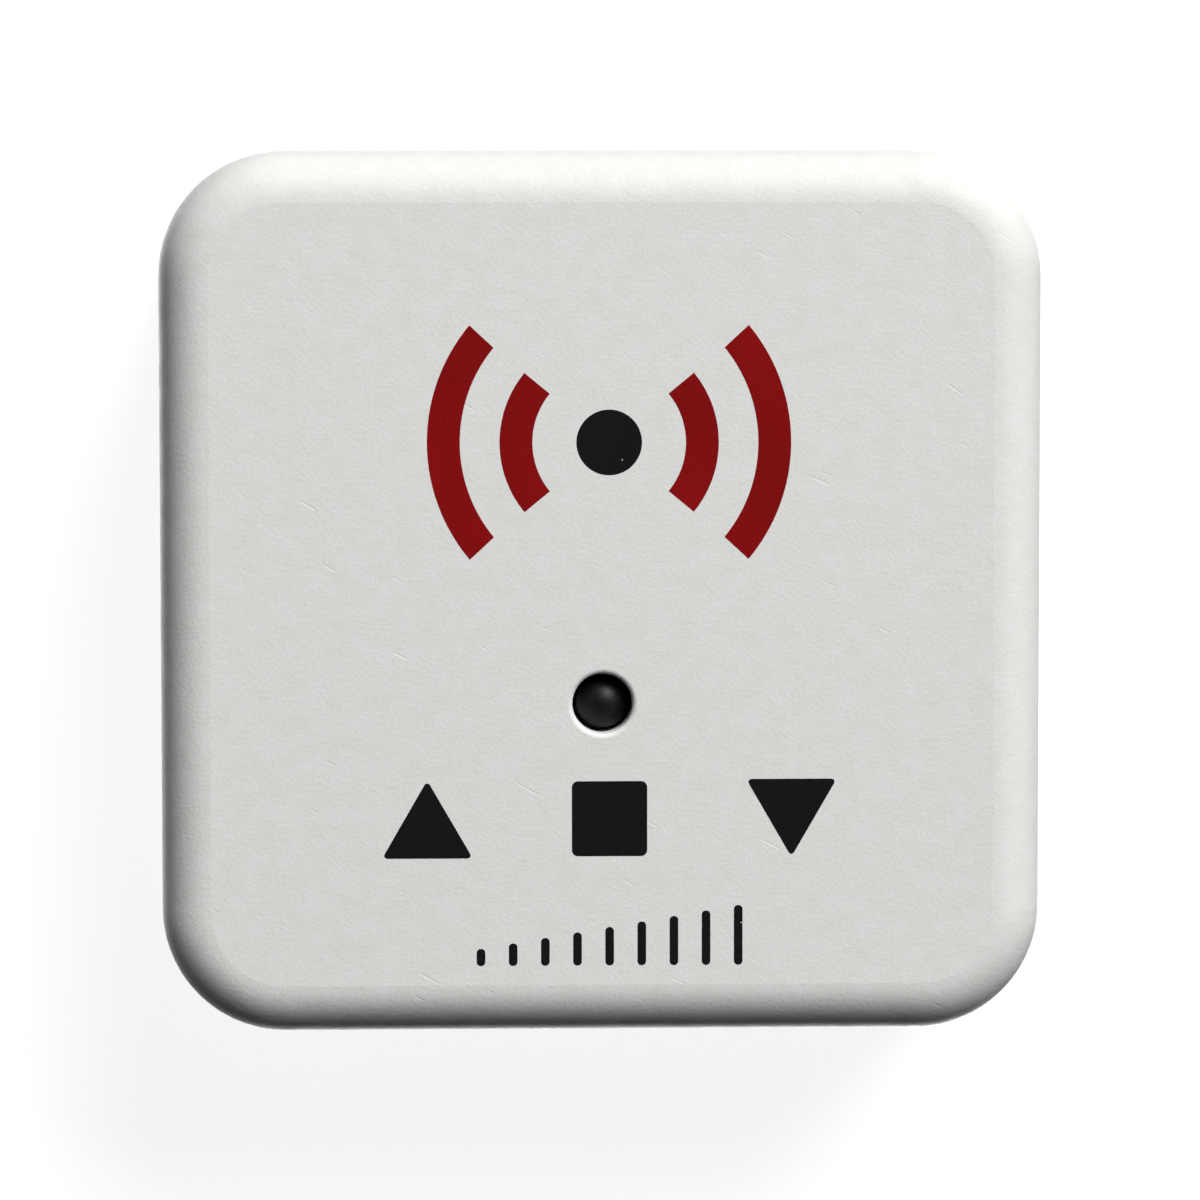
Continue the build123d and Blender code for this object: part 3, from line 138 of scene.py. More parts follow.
def start_group(name, inputs, outputs):
    """A node group with these inputs and outputs, and the two nodes that hold them."""
    tree = bpy.data.node_groups.new(name, "ShaderNodeTree")
    tree.interface.new_socket("Vector", in_out="INPUT", socket_type="NodeSocketVector")
    for label, value in inputs.items():
        socket = tree.interface.new_socket(label, in_out="INPUT", socket_type="NodeSocketFloat")
        socket.default_value = value
    for label in outputs:
        tree.interface.new_socket(label, in_out="OUTPUT", socket_type="NodeSocketFloat")
    return tree, tree.nodes.new("NodeGroupInput").outputs, tree.nodes.new("NodeGroupOutput").inputs


print("helpers ready")

# %% [markdown]
# ## Spark texture
#
# The mould of a matt plastic case is etched with sparks, which leaves tiny rounded pits about a
# fifth of a millimetre wide. Two sizes of noise give them: the fine one is the pits, the coarse
# one makes the sheen a little uneven, as a moulding's is. The group gives a height for the bump
# and a tone for the colour and the gloss. The tone is darker where the pits go deeper, which is
# painted shade, and it also drifts at random over the moulding.

# %% The spark texture group
CLUMP_SHARE = 0.23
CLUMP_HEIGHT = 0.6
# How strongly the pits darken the tone where they go deeper: painted shade in the pits.
PIT_SHADE = 0.9


def make_spark_texture():
    """Fine rounded pits, with painted shade in them and a slow change of tone over the moulding."""
    values = {"Pits": 7000.0, "Drift": 60.0}
    tree, inside, outside = start_group("spark texture", values, ["Height", "Tone"])
    place = inside["Vector"]
    pits = noise(tree, place, inside["Pits"], 2.0)
    clumps = noise(tree, place, sum_of(tree, "MULTIPLY", inside["Pits"], CLUMP_SHARE), 1.0)
    height = sum_of(tree, "ADD", pits, sum_of(tree, "MULTIPLY", clumps, CLUMP_HEIGHT))
    tree.links.new(height, outside["Height"])
    drift = noise(tree, place, inside["Drift"], 3.0)
    # The pits also darken the tone where they go deeper: painted shade in the pits.
    fine = sum_of(tree, "MULTIPLY", sum_of(tree, "SUBTRACT", pits, 0.5), PIT_SHADE)
    tree.links.new(spread(tree, sum_of(tree, "ADD", drift, fine), 0.25, 0.75), outside["Tone"])
    return tree


SPARK_TEXTURE = make_spark_texture()
print("made", SPARK_TEXTURE.name)

# %% [markdown]
# ## Scuffs and dust
#
# A box that has been handled has a few thin rubbed lines and some specks. A scuff is a noise
# that is stretched a lot along one direction and then cut off high, so that only its ridges are
# left. Dust comes from a Voronoi texture, whose cells each have a random number: only the few
# cells with a low number keep the dot in their middle.

# %% The scuff and dust groups
SCUFF_TURNS_AND_STRETCHES = ((0.5, 8.0), (2.2, 12.0))
SCUFF_EDGE = 0.05


def make_scuffs():
    """Thin rubbed lines in two directions, as a mask."""
    tree, inside, outside = start_group("scuffs", {"Size": 260.0, "Rarity": 0.73}, ["Mask"])
    masks = []
    for turn, stretch in SCUFF_TURNS_AND_STRETCHES:
        turned = add_node(tree, "VectorRotate", {"Vector": inside["Vector"], "Angle": turn},
                          rotation_type="Z_AXIS")
        scaled = add_node(tree, "VectorMath", {0: turned.outputs[0], 1: (1.0, stretch, 1.0)},
                          operation="MULTIPLY")
        lines = noise(tree, scaled.outputs[0], inside["Size"], 2.0)
        top = sum_of(tree, "ADD", inside["Rarity"], SCUFF_EDGE)
        masks.append(spread(tree, lines, inside["Rarity"], top))
    tree.links.new(sum_of(tree, "MAXIMUM", *masks), outside["Mask"])
    return tree


def make_dust():
    """Scattered specks, as a mask."""
    values = {"Cells": 420.0, "Share": 0.04, "Speck": 0.10}
    tree, inside, outside = start_group("dust", values, ["Mask"])
    cells = add_node(tree, "TexVoronoi", {"Vector": inside["Vector"], "Scale": inside["Cells"]})
    lot = add_node(tree, "SeparateColor", {"Color": cells.outputs["Color"]}).outputs[0]
    chosen = sum_of(tree, "GREATER_THAN", inside["Share"], lot)
    dot = sum_of(tree, "GREATER_THAN", inside["Speck"], cells.outputs["Distance"])
    tree.links.new(sum_of(tree, "MULTIPLY", chosen, dot), outside["Mask"])
    return tree


SCUFFS = make_scuffs()
DUST = make_dust()
print("made", SCUFFS.name, "and", DUST.name)

# %% [markdown]
# ## Drawn metal, wound wire and fired clay
#
# Metal parts that were rolled or turned carry long fine lines, which is noise stretched along
# one axis. A coil of wire is a row of round ridges, which a Wave texture gives: it has one band
# for each tenth of pi of its scaled length. Ferrite, ceramic and coatings are speckled by the
# grains that they were pressed from, which is two noises of different sizes.

# %% The metal, wire and grain groups
WAVE_BAND = math.pi / 10
METAL_CLOUDS = 500.0
WIRE_CLOUDS = 900.0
WIRE_WOBBLE = 0.6
LUMP_SHARE = 0.15
LUMP_HEIGHT = 0.5


def make_drawn_lines():
    """Long fine lines along one axis, as drawn or rolled metal has, with painted shade in their grooves.
    """
    values = {"Lines": 9000.0, "Stretch": 0.04}
    tree, inside, outside = start_group("drawn lines", values, ["Height", "Tone"])
    squash = add_node(tree, "CombineXYZ", {0: 1.0, 1: 1.0, 2: inside["Stretch"]})
    along = add_node(tree, "VectorMath", {0: inside["Vector"], 1: squash.outputs[0]},
                     operation="MULTIPLY")
    lines = noise(tree, along.outputs[0], inside["Lines"], 3.0)
    tree.links.new(lines, outside["Height"])
    # The tone follows the lines and is darker in their grooves, which is painted shade, with random clouds
    # added.
    groove_shade_and_clouds = sum_of(tree, "ADD", lines, noise(tree, inside["Vector"], METAL_CLOUDS, 2.0))
    tree.links.new(spread(tree, groove_shade_and_clouds, 0.7, 1.3), outside["Tone"])
    return tree


def make_wound_wire():
    """Round ridges side by side along X, one for each turn of a coil, with painted shade in the grooves.
    """
    tree, inside, outside = start_group("wound wire", {"Pitch": 0.12 * MM}, ["Height", "Tone"])
    scale = sum_of(tree, "DIVIDE", WAVE_BAND, inside["Pitch"])
    links = {"Vector": inside["Vector"], "Scale": scale, "Distortion": WIRE_WOBBLE,
             "Detail": 1.0, "Detail Scale": 0.4}
    turns = add_node(tree, "TexWave", links, wave_profile="SIN").outputs["Fac"]
    tree.links.new(turns, outside["Height"])
    # The tone is the turns times soft clouds: dark in the grooves between turns, which is painted shade,
    # and in random patches.
    clouds = noise(tree, inside["Vector"], WIRE_CLOUDS, 2.0)
    tree.links.new(sum_of(tree, "MULTIPLY", turns, clouds), outside["Tone"])
    return tree


def make_pressed_grains():
    """Coarse and fine grains, as pressed and fired or dipped parts have."""
    tree, inside, outside = start_group("pressed grains", {"Grains": 5000.0}, ["Height", "Tone"])
    fine = noise(tree, inside["Vector"], inside["Grains"], 4.0)
    few = sum_of(tree, "MULTIPLY", inside["Grains"], LUMP_SHARE)
    coarse = add_node(tree, "TexVoronoi", {"Vector": inside["Vector"], "Scale": few})
    lump = sum_of(tree, "MULTIPLY", coarse.outputs["Distance"], LUMP_HEIGHT)
    tree.links.new(sum_of(tree, "ADD", fine, lump), outside["Height"])
    tree.links.new(spread(tree, fine, 0.3, 0.7), outside["Tone"])
    return tree


DRAWN_LINES = make_drawn_lines()
WOUND_WIRE = make_wound_wire()
PRESSED_GRAINS = make_pressed_grains()
print("made", DRAWN_LINES.name, WOUND_WIRE.name, PRESSED_GRAINS.name)

# %% [markdown]
# ## Starting a finish
#
# Every material here starts the same way: a Principled BSDF and the Object coordinates, which
# stay on the object when the camera moves. The measured colours are screen colours, and shader
# sockets want linear light, so one helper converts them. Others put a group into a material,
# mix two colours by a mask, and feed colour, roughness and bump into the shader.

# %% Helpers that start and fill a material
def light_of(colour):
    """Linear light from a screen colour of 0 to 255."""
    parts = [part / 255 for part in colour]
    return [part / 12.92 if part <= 0.04045 else ((part + 0.055) / 1.055) ** 2.4 for part in parts] + [1.0]


def start_finish(name):
    """A new material, with its tree, its shader and its Object coordinates."""
    material = bpy.data.materials.new(name)
    material.use_nodes = True
    tree = material.node_tree
    place = add_node(tree, "TexCoord").outputs["Object"]
    return material, tree, tree.nodes["Principled BSDF"], place


def use_group(tree, group, place, **values):
    """A group in a material, with its own values."""
    node = tree.nodes.new("ShaderNodeGroup")
    node.node_tree = group
    tree.links.new(place, node.inputs["Vector"])
    for label, value in values.items():
        node.inputs[label].default_value = value
    return node.outputs


def mix_colours(tree, mask, first, second):
    """One colour where the mask is 0 and another where it is 1."""
    node = add_node(tree, "Mix", {0: mask, 6: first, 7: second}, data_type="RGBA")
    return node.outputs[2]


def fill_shader(tree, shader, colour, roughness, height, depth):
    """Colour, gloss and bump into the shader."""
    tree.links.new(colour, shader.inputs["Base Color"])
    tree.links.new(roughness, shader.inputs["Roughness"])
    bump = add_node(tree, "Bump", {"Strength": 1.0, "Distance": depth, "Height": height})
    tree.links.new(bump.outputs["Normal"], shader.inputs["Normal"])


print("a mid grey is", [round(part, 3) for part in light_of((128, 128, 128))])

# %% [markdown]
# ## The white case
#
# The case is matt white plastic, slightly cool, and close to it one sees the spark texture, a
# few faint scuffs and hardly any dust. The scuffs are a little glossier and lighter than the
# rest, because rubbing flattens the pits. The gloss is kept low, so that the rolled edges fall
# away softly, as they do in the photograph.

# %% The finish of the case
CASE_LIGHT = (231, 231, 229)
CASE_DARK = (225, 225, 222)
CASE_SCUFF = (238, 238, 236)
CASE_PITS = 4600.0
CASE_DRIFT = 750.0
CASE_BUMP = 0.016 * MM
CASE_ROUGHNESS = (0.68, 0.60)
CASE_SPECULAR = 0.2
SCUFF_GLOSS = 0.12
SCUFF_FLATNESS = 0.6
DUST_TONE = (150, 146, 138)


def make_case_white():
    """Matt white plastic with spark texture, scuffs and dust."""
    material, tree, shader, place = start_finish("case_white_plastic")
    texture = use_group(tree, SPARK_TEXTURE, place, Pits=CASE_PITS, Drift=CASE_DRIFT)
    scuff = use_group(tree, SCUFFS, place, Size=300.0, Rarity=0.71)["Mask"]
    dust = use_group(tree, DUST, place, Cells=300.0, Share=0.012, Speck=0.05)["Mask"]
    colour = mix_colours(tree, texture["Tone"], light_of(CASE_DARK), light_of(CASE_LIGHT))
    colour = mix_colours(tree, sum_of(tree, "MULTIPLY", scuff, 0.5), colour, light_of(CASE_SCUFF))
    colour = mix_colours(tree, dust, colour, light_of(DUST_TONE))
    gloss = spread(tree, texture["Tone"], 0.0, 1.0, *CASE_ROUGHNESS)
    gloss = sum_of(tree, "SUBTRACT", gloss, sum_of(tree, "MULTIPLY", scuff, SCUFF_GLOSS))
    flat = sum_of(tree, "MULTIPLY", scuff, SCUFF_FLATNESS)
    height = sum_of(tree, "SUBTRACT", texture["Height"], flat)
    fill_shader(tree, shader, colour, gloss, height, CASE_BUMP)
    shader.inputs["Specular IOR Level"].default_value = CASE_SPECULAR
    return material


case_white = make_case_white()
print("made", case_white.name)

# %% [markdown]
# ## The smoked dome
#
# The button is moulded from smoked plastic. It looks black from outside: the light under it
# only shows when it is lit. In the photograph it shows the room as one soft glow, high on the
# right, so it is satin rather than glossy, with a weak mirror. Faint hair scratches and a trace
# of dust break the glow.

# %% The finish of the button
SMOKE_DARK = (6, 6, 7)
SMOKE_LIGHT = (11, 11, 12)
SMOKE_DUST = (95, 92, 88)
SMOKE_ROUGHNESS = (0.42, 0.50)
SMOKE_SPECULAR = 0.22
SCRATCH_DEPTH = 0.001 * MM


def make_smoked_plastic():
    """Satin black plastic with hair scratches."""
    material, tree, shader, place = start_finish("smoked_dome")
    texture = use_group(tree, SPARK_TEXTURE, place, Pits=2500.0, Drift=700.0)
    scratch = use_group(tree, SCUFFS, place, Size=900.0, Rarity=0.66)["Mask"]
    dust = use_group(tree, DUST, place, Cells=2600.0, Share=0.03, Speck=0.10)["Mask"]
    colour = mix_colours(tree, texture["Tone"], light_of(SMOKE_DARK), light_of(SMOKE_LIGHT))
    colour = mix_colours(tree, dust, colour, light_of(SMOKE_DUST))
    gloss = spread(tree, texture["Tone"], 0.0, 1.0, *SMOKE_ROUGHNESS)
    gloss = sum_of(tree, "ADD", gloss, sum_of(tree, "MULTIPLY", scratch, 0.15))
    fill_shader(tree, shader, colour, gloss, scratch, SCRATCH_DEPTH)
    shader.inputs["Specular IOR Level"].default_value = SMOKE_SPECULAR
    return material


smoked_plastic = make_smoked_plastic()
print("made", smoked_plastic.name)

# %% [markdown]
# ## Moulded plastics
#
# The terminal block, the relay, the sockets and the moulded chips are all plastic from a mould,
# and differ in colour, gloss and the size of their texture. One function with a few inputs makes
# them all. Each keeps two tones, because even a plain colour changes a little over a moulding.

# %% One function for the moulded plastics
def moulded(name, dark, light, gloss, pits=9000.0, depth=0.004):
    """Moulded plastic of two close tones, with its own gloss and texture."""
    material, tree, shader, place = start_finish(name)
    texture = use_group(tree, SPARK_TEXTURE, place, Pits=pits, Drift=260.0)
    scuff = use_group(tree, SCUFFS, place, Size=600.0, Rarity=0.70)["Mask"]
    dust = use_group(tree, DUST, place, Cells=1500.0, Share=0.02, Speck=0.10)["Mask"]
    colour = mix_colours(tree, texture["Tone"], light_of(dark), light_of(light))
    rubbed = light_of([part + (255 - part) * 0.18 for part in light])
    colour = mix_colours(tree, sum_of(tree, "MULTIPLY", scuff, 0.6), colour, rubbed)
    colour = mix_colours(tree, dust, colour, light_of(DUST_TONE))
    roughness = spread(tree, texture["Tone"], 0.0, 1.0, gloss + 0.05, gloss - 0.05)
    fill_shader(tree, shader, colour, roughness, texture["Height"], depth * MM)
    return material


terminal_green = moulded("terminal_nylon", (16, 104, 52), (24, 122, 62), 0.42)
black_plastic = moulded("black_socket_plastic", (20, 20, 21), (33, 33, 34), 0.48)
relay_blue = moulded("relay_cover_plastic", (24, 58, 128), (31, 70, 148), 0.36)
bobbin_plastic = moulded("bobbin_plastic", (196, 190, 176), (212, 206, 192), 0.5)
white_resin = moulded("white_resin", (218, 216, 208), (232, 231, 224), 0.38)
can_sleeve = moulded("capacitor_sleeve", (22, 24, 34), (34, 37, 48), 0.3, pits=3000.0)
print("made the moulded plastics")

# %% [markdown]
# ## Metals
#
# The screws are steel with a zinc plating, the clamps and the shield are tinned or nickel-plated
# sheet, and the bars are brass. All are metallic, and differ in colour, gloss and how far the
# drawn lines show. A few darker spots stand for the dulled places that bare metal gets.

# %% One function for the metals
def drawn_metal(name, dark, light, gloss, lines=9000.0, depth=0.002):
    """Drawn or plated metal of two tones, with fine lines along its length."""
    material, tree, shader, place = start_finish(name)
    texture = use_group(tree, DRAWN_LINES, place, Lines=lines)
    spots = use_group(tree, DUST, place, Cells=1800.0, Share=0.10, Speck=0.22)["Mask"]
    colour = mix_colours(tree, texture["Tone"], light_of(dark), light_of(light))
    dull = light_of([part * 0.72 for part in dark])
    colour = mix_colours(tree, sum_of(tree, "MULTIPLY", spots, 0.5), colour, dull)
    roughness = spread(tree, texture["Tone"], 0.0, 1.0, gloss + 0.08, gloss - 0.06)
    roughness = sum_of(tree, "ADD", roughness, sum_of(tree, "MULTIPLY", spots, 0.15))
    fill_shader(tree, shader, colour, roughness, texture["Height"], depth * MM)
    shader.inputs["Metallic"].default_value = 1.0
    return material


screw_steel = drawn_metal("zinc_plated_steel", (172, 175, 178), (205, 207, 209), 0.3)
plated_steel = drawn_metal("nickel_plated_steel", (178, 174, 166), (208, 204, 196), 0.26)
spring_metal = drawn_metal("spring_sheet", (176, 160, 128), (206, 192, 160), 0.28)
tinned_leads = drawn_metal("tinned_wire", (168, 168, 166), (202, 202, 200), 0.34)
soft_iron = drawn_metal("soft_iron", (128, 127, 124), (160, 159, 156), 0.38)
brass = drawn_metal("brass_bar", (176, 140, 72), (214, 178, 104), 0.3)
bare_copper = drawn_metal("antenna_copper", (176, 112, 74), (214, 146, 100), 0.32)
print("made the metals")

# %% [markdown]
# ## Coils, cores and coatings
#
# The two coils are enamelled copper wire, so their colour is deep orange and their ridges follow
# the turns. The relay's coil runs along X, but the inductor stands up, so its pattern is turned
# with a Mapping node. The ferrite core, the ceramic chips, the rubber seals and the dipped
# varistor share the pressed grains with their own colours.

# %% Wire and pressed grains
# The dark wire colour is painted shade in the grooves between turns, and random darker patches; the light
# one is the copper's own.
WIRE_GROOVE_SHADE_AND_MOTTLE = (92, 40, 18)
WIRE_LIGHT = (198, 108, 56)
WIRE_RIDGE = 0.04 * MM


def wound_copper(name, turn):
    """Enamelled wire, wound side by side along X after the turn."""
    material, tree, shader, place = start_finish(name)
    turned = add_node(tree, "Mapping", {"Vector": place, "Rotation": turn}).outputs[0]
    texture = use_group(tree, WOUND_WIRE, turned)
    colour = mix_colours(tree, texture["Tone"], light_of(WIRE_GROOVE_SHADE_AND_MOTTLE), light_of(WIRE_LIGHT))
    roughness = spread(tree, texture["Tone"], 0.0, 1.0, 0.34, 0.22)
    fill_shader(tree, shader, colour, roughness, texture["Height"], WIRE_RIDGE)
    shader.inputs["Metallic"].default_value = 0.8
    shader.inputs["Coat Weight"].default_value = 0.4
    return material


def pressed(name, dark, light, gloss, grains=5000.0, depth=0.008):
    """A pressed, fired or dipped part with grains of two tones."""
    material, tree, shader, place = start_finish(name)
    texture = use_group(tree, PRESSED_GRAINS, place, Grains=grains)
    colour = mix_colours(tree, texture["Tone"], light_of(dark), light_of(light))
    roughness = spread(tree, texture["Tone"], 0.0, 1.0, gloss + 0.06, gloss - 0.06)
    fill_shader(tree, shader, colour, roughness, texture["Height"], depth * MM)
    return material


relay_copper = wound_copper("relay_wire", (0.0, 0.0, 0.0))
inductor_copper = wound_copper("inductor_wire", (0.0, math.pi / 2, 0.0))
seal_rubber = pressed("seal_rubber", (24, 23, 22), (40, 39, 37), 0.72)
ferrite = pressed("ferrite", (34, 34, 36), (58, 58, 61), 0.55, grains=7000.0)
varistor_coat = pressed("varistor_coat", (22, 62, 140), (34, 80, 164), 0.34, grains=2500.0)
chip_ceramic = pressed("chip_ceramic", (118, 96, 70), (150, 126, 96), 0.5, grains=9000.0)
print("made the coils and the pressed finishes")

# %% [markdown]
# ## The circuit boards
#
# A board is woven glass under a green solder mask, with copper tracks that show through as a
# lighter green. The weave is two crossed waves. Tracks run side by side in bundles, here along
# one edge of the board and there along the other, with plain copper between: so a Voronoi
# texture with square cells deals out zones, and each zone gets one kind of copper by its lot.
# Small plated holes lie between them. The mask is glossy like varnish.

# %% The finish of the boards
MASK_DARK = (8, 66, 36)
MASK_LIGHT = (13, 80, 45)
MASK_ON_COPPER = (30, 112, 62)
MASK_ON_WEAVE = (70, 130, 84)
HOLE_TIN = (186, 184, 176)
ZONES = 150.0
TRACK_PITCH = 0.85 * MM
POUR_FROM = 0.72
TRACK_LOTS = (("X", 0.14, 0.42), ("Y", 0.42, POUR_FROM))
WEAVE_PITCH = 0.45 * MM
COPPER_DEPTH = 0.02 * MM


def bands(tree, place, pitch, axis):
    """Soft bands across one axis, from 0 to 1 and back for each pitch."""
    links = {"Vector": place, "Scale": WAVE_BAND / pitch}
    return add_node(tree, "TexWave", links, bands_direction=axis).outputs["Fac"]


def make_board_green():
    """Solder mask over woven glass, copper tracks and plated holes."""
    material, tree, shader, place = start_finish("solder_mask")
    zones = add_node(tree, "TexVoronoi", {"Vector": place, "Scale": ZONES}, distance="CHEBYCHEV")
    lot = add_node(tree, "SeparateColor", {"Color": zones.outputs["Color"]}).outputs[0]
    copper = sum_of(tree, "GREATER_THAN", lot, POUR_FROM)
    for axis, low, high in TRACK_LOTS:
        track = spread(tree, bands(tree, place, TRACK_PITCH, axis), 0.78, 0.86)
        zone = sum_of(tree, "MULTIPLY", sum_of(tree, "GREATER_THAN", lot, low),
                      sum_of(tree, "LESS_THAN", lot, high))
        copper = sum_of(tree, "MAXIMUM", copper, sum_of(tree, "MULTIPLY", track, zone))
    weave = sum_of(tree, "MULTIPLY", *[bands(tree, place, WEAVE_PITCH, axis) for axis in ("X", "Y")])
    holes = use_group(tree, DUST, place, Cells=420.0, Share=0.22, Speck=0.10)["Mask"]
    mottle = use_group(tree, SPARK_TEXTURE, place, Pits=3000.0, Drift=160.0)["Tone"]
    colour = mix_colours(tree, mottle, light_of(MASK_DARK), light_of(MASK_LIGHT))
    colour = mix_colours(tree, copper, colour, light_of(MASK_ON_COPPER))
    colour = mix_colours(tree, sum_of(tree, "MULTIPLY", weave, 0.12), colour, light_of(MASK_ON_WEAVE))
    colour = mix_colours(tree, holes, colour, light_of(HOLE_TIN))
    roughness = spread(tree, mottle, 0.0, 1.0, 0.34, 0.26)
    height = sum_of(tree, "ADD", copper, sum_of(tree, "MULTIPLY", weave, 0.2))
    fill_shader(tree, shader, colour, roughness, height, COPPER_DEPTH)
    return material


board_green = make_board_green()
print("made", board_green.name)

# %% [markdown]
# ## Giving the CAD nodes their finish
#
# Each node came with a plain material that is named after its slot in the record. A table takes
# each slot to its finish, and two nodes have their own because their slot covers more than one
# kind of surface. Only the material slots are changed. The shapes stay as CAD made them.

# %% Finishes on the nodes
FINISHES = {
    "case_white": case_white, "screw_steel": screw_steel, "board_green": board_green,
    "terminal_green": terminal_green, "brass": brass, "plated_steel": plated_steel,
    "smoked_plastic": smoked_plastic, "black_plastic": black_plastic, "spring_metal": spring_metal,
    "tinned_leads": tinned_leads, "white_resin": white_resin, "copper": relay_copper,
    "relay_blue": relay_blue, "bobbin_plastic": bobbin_plastic, "soft_iron": soft_iron,
    "can_sleeve": can_sleeve, "seal_rubber": seal_rubber, "ferrite": ferrite,
    "varistor_coat": varistor_coat, "chip_ceramic": chip_ceramic,
}
OWN_FINISHES = {"inductor_winding": inductor_copper, "radio_antenna": bare_copper}

for name, node in nodes.items():
    for slot in node.material_slots:
        slot.material = OWN_FINISHES.get(name, FINISHES[slot.material.name])
print("dressed", len(nodes), "nodes in", len(set(FINISHES.values())) + len(OWN_FINISHES), "finishes")

# %% [markdown]
# ## Printing on the front
#
# The real front has printing in dark red and black. Here its place holds plain signs of the
# same colours and scale: waves on both sides of a dot above the button, and open, stop and close
# signs below it. Ink lies flat on the plastic, so each sign is a very thin solid that stands a
# hundredth of a millimetre proud. A ring starts as a disc, its inner part is inset and deleted,
# and two cuts leave the sector that is wanted.

# %% Helpers for flat signs
FACE_LEVEL = cad_high.z
INK_PROUD = 0.01 * MM
INK_DEPTH = 0.03 * MM


def deselect_all():
    """Nothing selected and nothing active from an earlier step."""
    bpy.ops.object.select_all(action="DESELECT")


def active_named(name):
    """The object that was just made, under its own name."""
    piece = bpy.context.active_object
    piece.name = name
    return piece


def tell(piece):
    """Prints what a piece measures."""
    print(piece.name, len(piece.data.polygons), "faces", tuple(piece.dimensions))


def in_edit_mode(steps):
    """The steps, done in edit mode with everything selected."""
    bpy.ops.object.mode_set(mode="EDIT")
    bpy.ops.mesh.select_all(action="SELECT")
    steps()
    bpy.ops.object.mode_set(mode="OBJECT")


def flat_sign(name, corners, radius, x, y, turn=0.0):
    """A flat polygon of ink on the face, with this many corners."""
    deselect_all()
    bpy.ops.mesh.primitive_circle_add(vertices=corners, radius=radius, fill_type="NGON",
                                      location=(x, y, FACE_LEVEL + INK_PROUD), rotation=(0, 0, turn))
    return active_named(name)


print("the face is at", FACE_LEVEL)

# %% [markdown]
# ## Ink and its thickness
#
# Printing ink is nearly even and satin, with a pinhole here and there. The thickness of a sign
# comes last: a Solidify modifier gives the flat sign its depth down into the plastic. Then its
# place is written into its mesh, so that its object sits at the origin as the CAD nodes do.

# %% Ink, thickness and joining
PINHOLE_TONE = (190, 186, 182)
INK_BUMP = 0.005 * MM
INK_ROUGHNESS = (0.7, 0.62)
INK_SPECULAR = 0.1


def make_ink(name, dark, light):
    """Screen-printing ink: nearly even, with pinholes and a satin gloss."""
    material, tree, shader, place = start_finish(name)
    texture = use_group(tree, SPARK_TEXTURE, place, Pits=5200.0, Drift=160.0)
    pinhole = use_group(tree, DUST, place, Cells=2600.0, Share=0.008, Speck=0.12)["Mask"]
    colour = mix_colours(tree, texture["Tone"], light_of(dark), light_of(light))
    colour = mix_colours(tree, pinhole, colour, light_of(PINHOLE_TONE))
    roughness = spread(tree, texture["Tone"], 0.0, 1.0, *INK_ROUGHNESS)
    fill_shader(tree, shader, colour, roughness, texture["Height"], INK_BUMP)
    shader.inputs["Specular IOR Level"].default_value = INK_SPECULAR
    return material


def settle(piece, material, depth=INK_DEPTH):
    """Gives a flat piece its thickness and finish, and writes its place into its mesh."""
    deselect_all()
    piece.select_set(True)
    bpy.context.view_layer.objects.active = piece
    thick = piece.modifiers.new("thickness", "SOLIDIFY")
    thick.thickness = depth
    thick.offset = -1.0
    bpy.ops.object.modifier_apply(modifier=thick.name)
    bpy.ops.object.transform_apply(location=True, rotation=True, scale=True)
    piece.data.materials.append(material)
    return piece


def join_pieces(pieces, name):
    """Several solids as one piece."""
    deselect_all()
    for piece in pieces:
        piece.select_set(True)
    bpy.context.view_layer.objects.active = pieces[0]
    bpy.ops.object.join()
    return active_named(name)


red_ink = make_ink("dark_red_ink", (124, 4, 6), (140, 6, 9))
black_ink = make_ink("black_ink", (8, 8, 9), (15, 15, 16))
print("made", red_ink.name, "and", black_ink.name)

# %% [markdown]
# ## Waves and a dot
#
# The upper sign says that the box is worked by radio: a black dot with two dark red waves on
# each side. One function makes a wave of a given radius as a ring sector, and the mirror image
# on the other side is the same sector turned half round.

# %% The wave sign
SIGN_X = 0.4 * MM
SIGN_Y = 8.9 * MM
WAVE_RADII = (5.4 * MM, 9.6 * MM)
WAVE_WIDTH = 1.9 * MM
WAVE_HALF_ANGLE = math.radians(40)
DOT_RADIUS = 1.9 * MM
ROUND_CORNERS = 128


def wave(name, radius, turn):
    """One wave: a ring sector round the dot, opening along +X after the turn."""
    sign = flat_sign(name, ROUND_CORNERS, radius + WAVE_WIDTH / 2, SIGN_X, SIGN_Y)

    def hollow():
        bpy.ops.mesh.inset(thickness=WAVE_WIDTH, depth=0)
        bpy.ops.mesh.delete(type="FACE")

    in_edit_mode(hollow)
    for side in (-1, 1):
        angle = turn + side * WAVE_HALF_ANGLE
        normal = (-side * math.sin(angle), side * math.cos(angle), 0)

        def cut():
            bpy.ops.mesh.bisect(plane_co=(SIGN_X, SIGN_Y, FACE_LEVEL), plane_no=normal,
                                clear_outer=True)

        in_edit_mode(cut)
    return settle(sign, red_ink)


waves = [wave("wave", radius, turn) for radius in WAVE_RADII for turn in (0.0, math.pi)]
signal_waves = join_pieces(waves, "printed_waves")
signal_dot = settle(flat_sign("printed_dot", ROUND_CORNERS, DOT_RADIUS, SIGN_X, SIGN_Y), black_ink)
tell(signal_waves)

# %% [markdown]
# ## Open, stop and close
#
# Door controls everywhere use a triangle that points up, a square and a triangle that points
# down. They are flat polygons with three and four corners. A small bevel on their corners keeps
# them from looking cut with a knife.

# %% The control signs
SIGNS_Y = -13.0 * MM
SIGNS_APART = 10.6 * MM
TRIANGLE_RADIUS = 3.05 * MM
SQUARE_RADIUS = 3.1 * MM
CORNER_ROUND = 0.35 * MM
CORNER_STEPS = 5


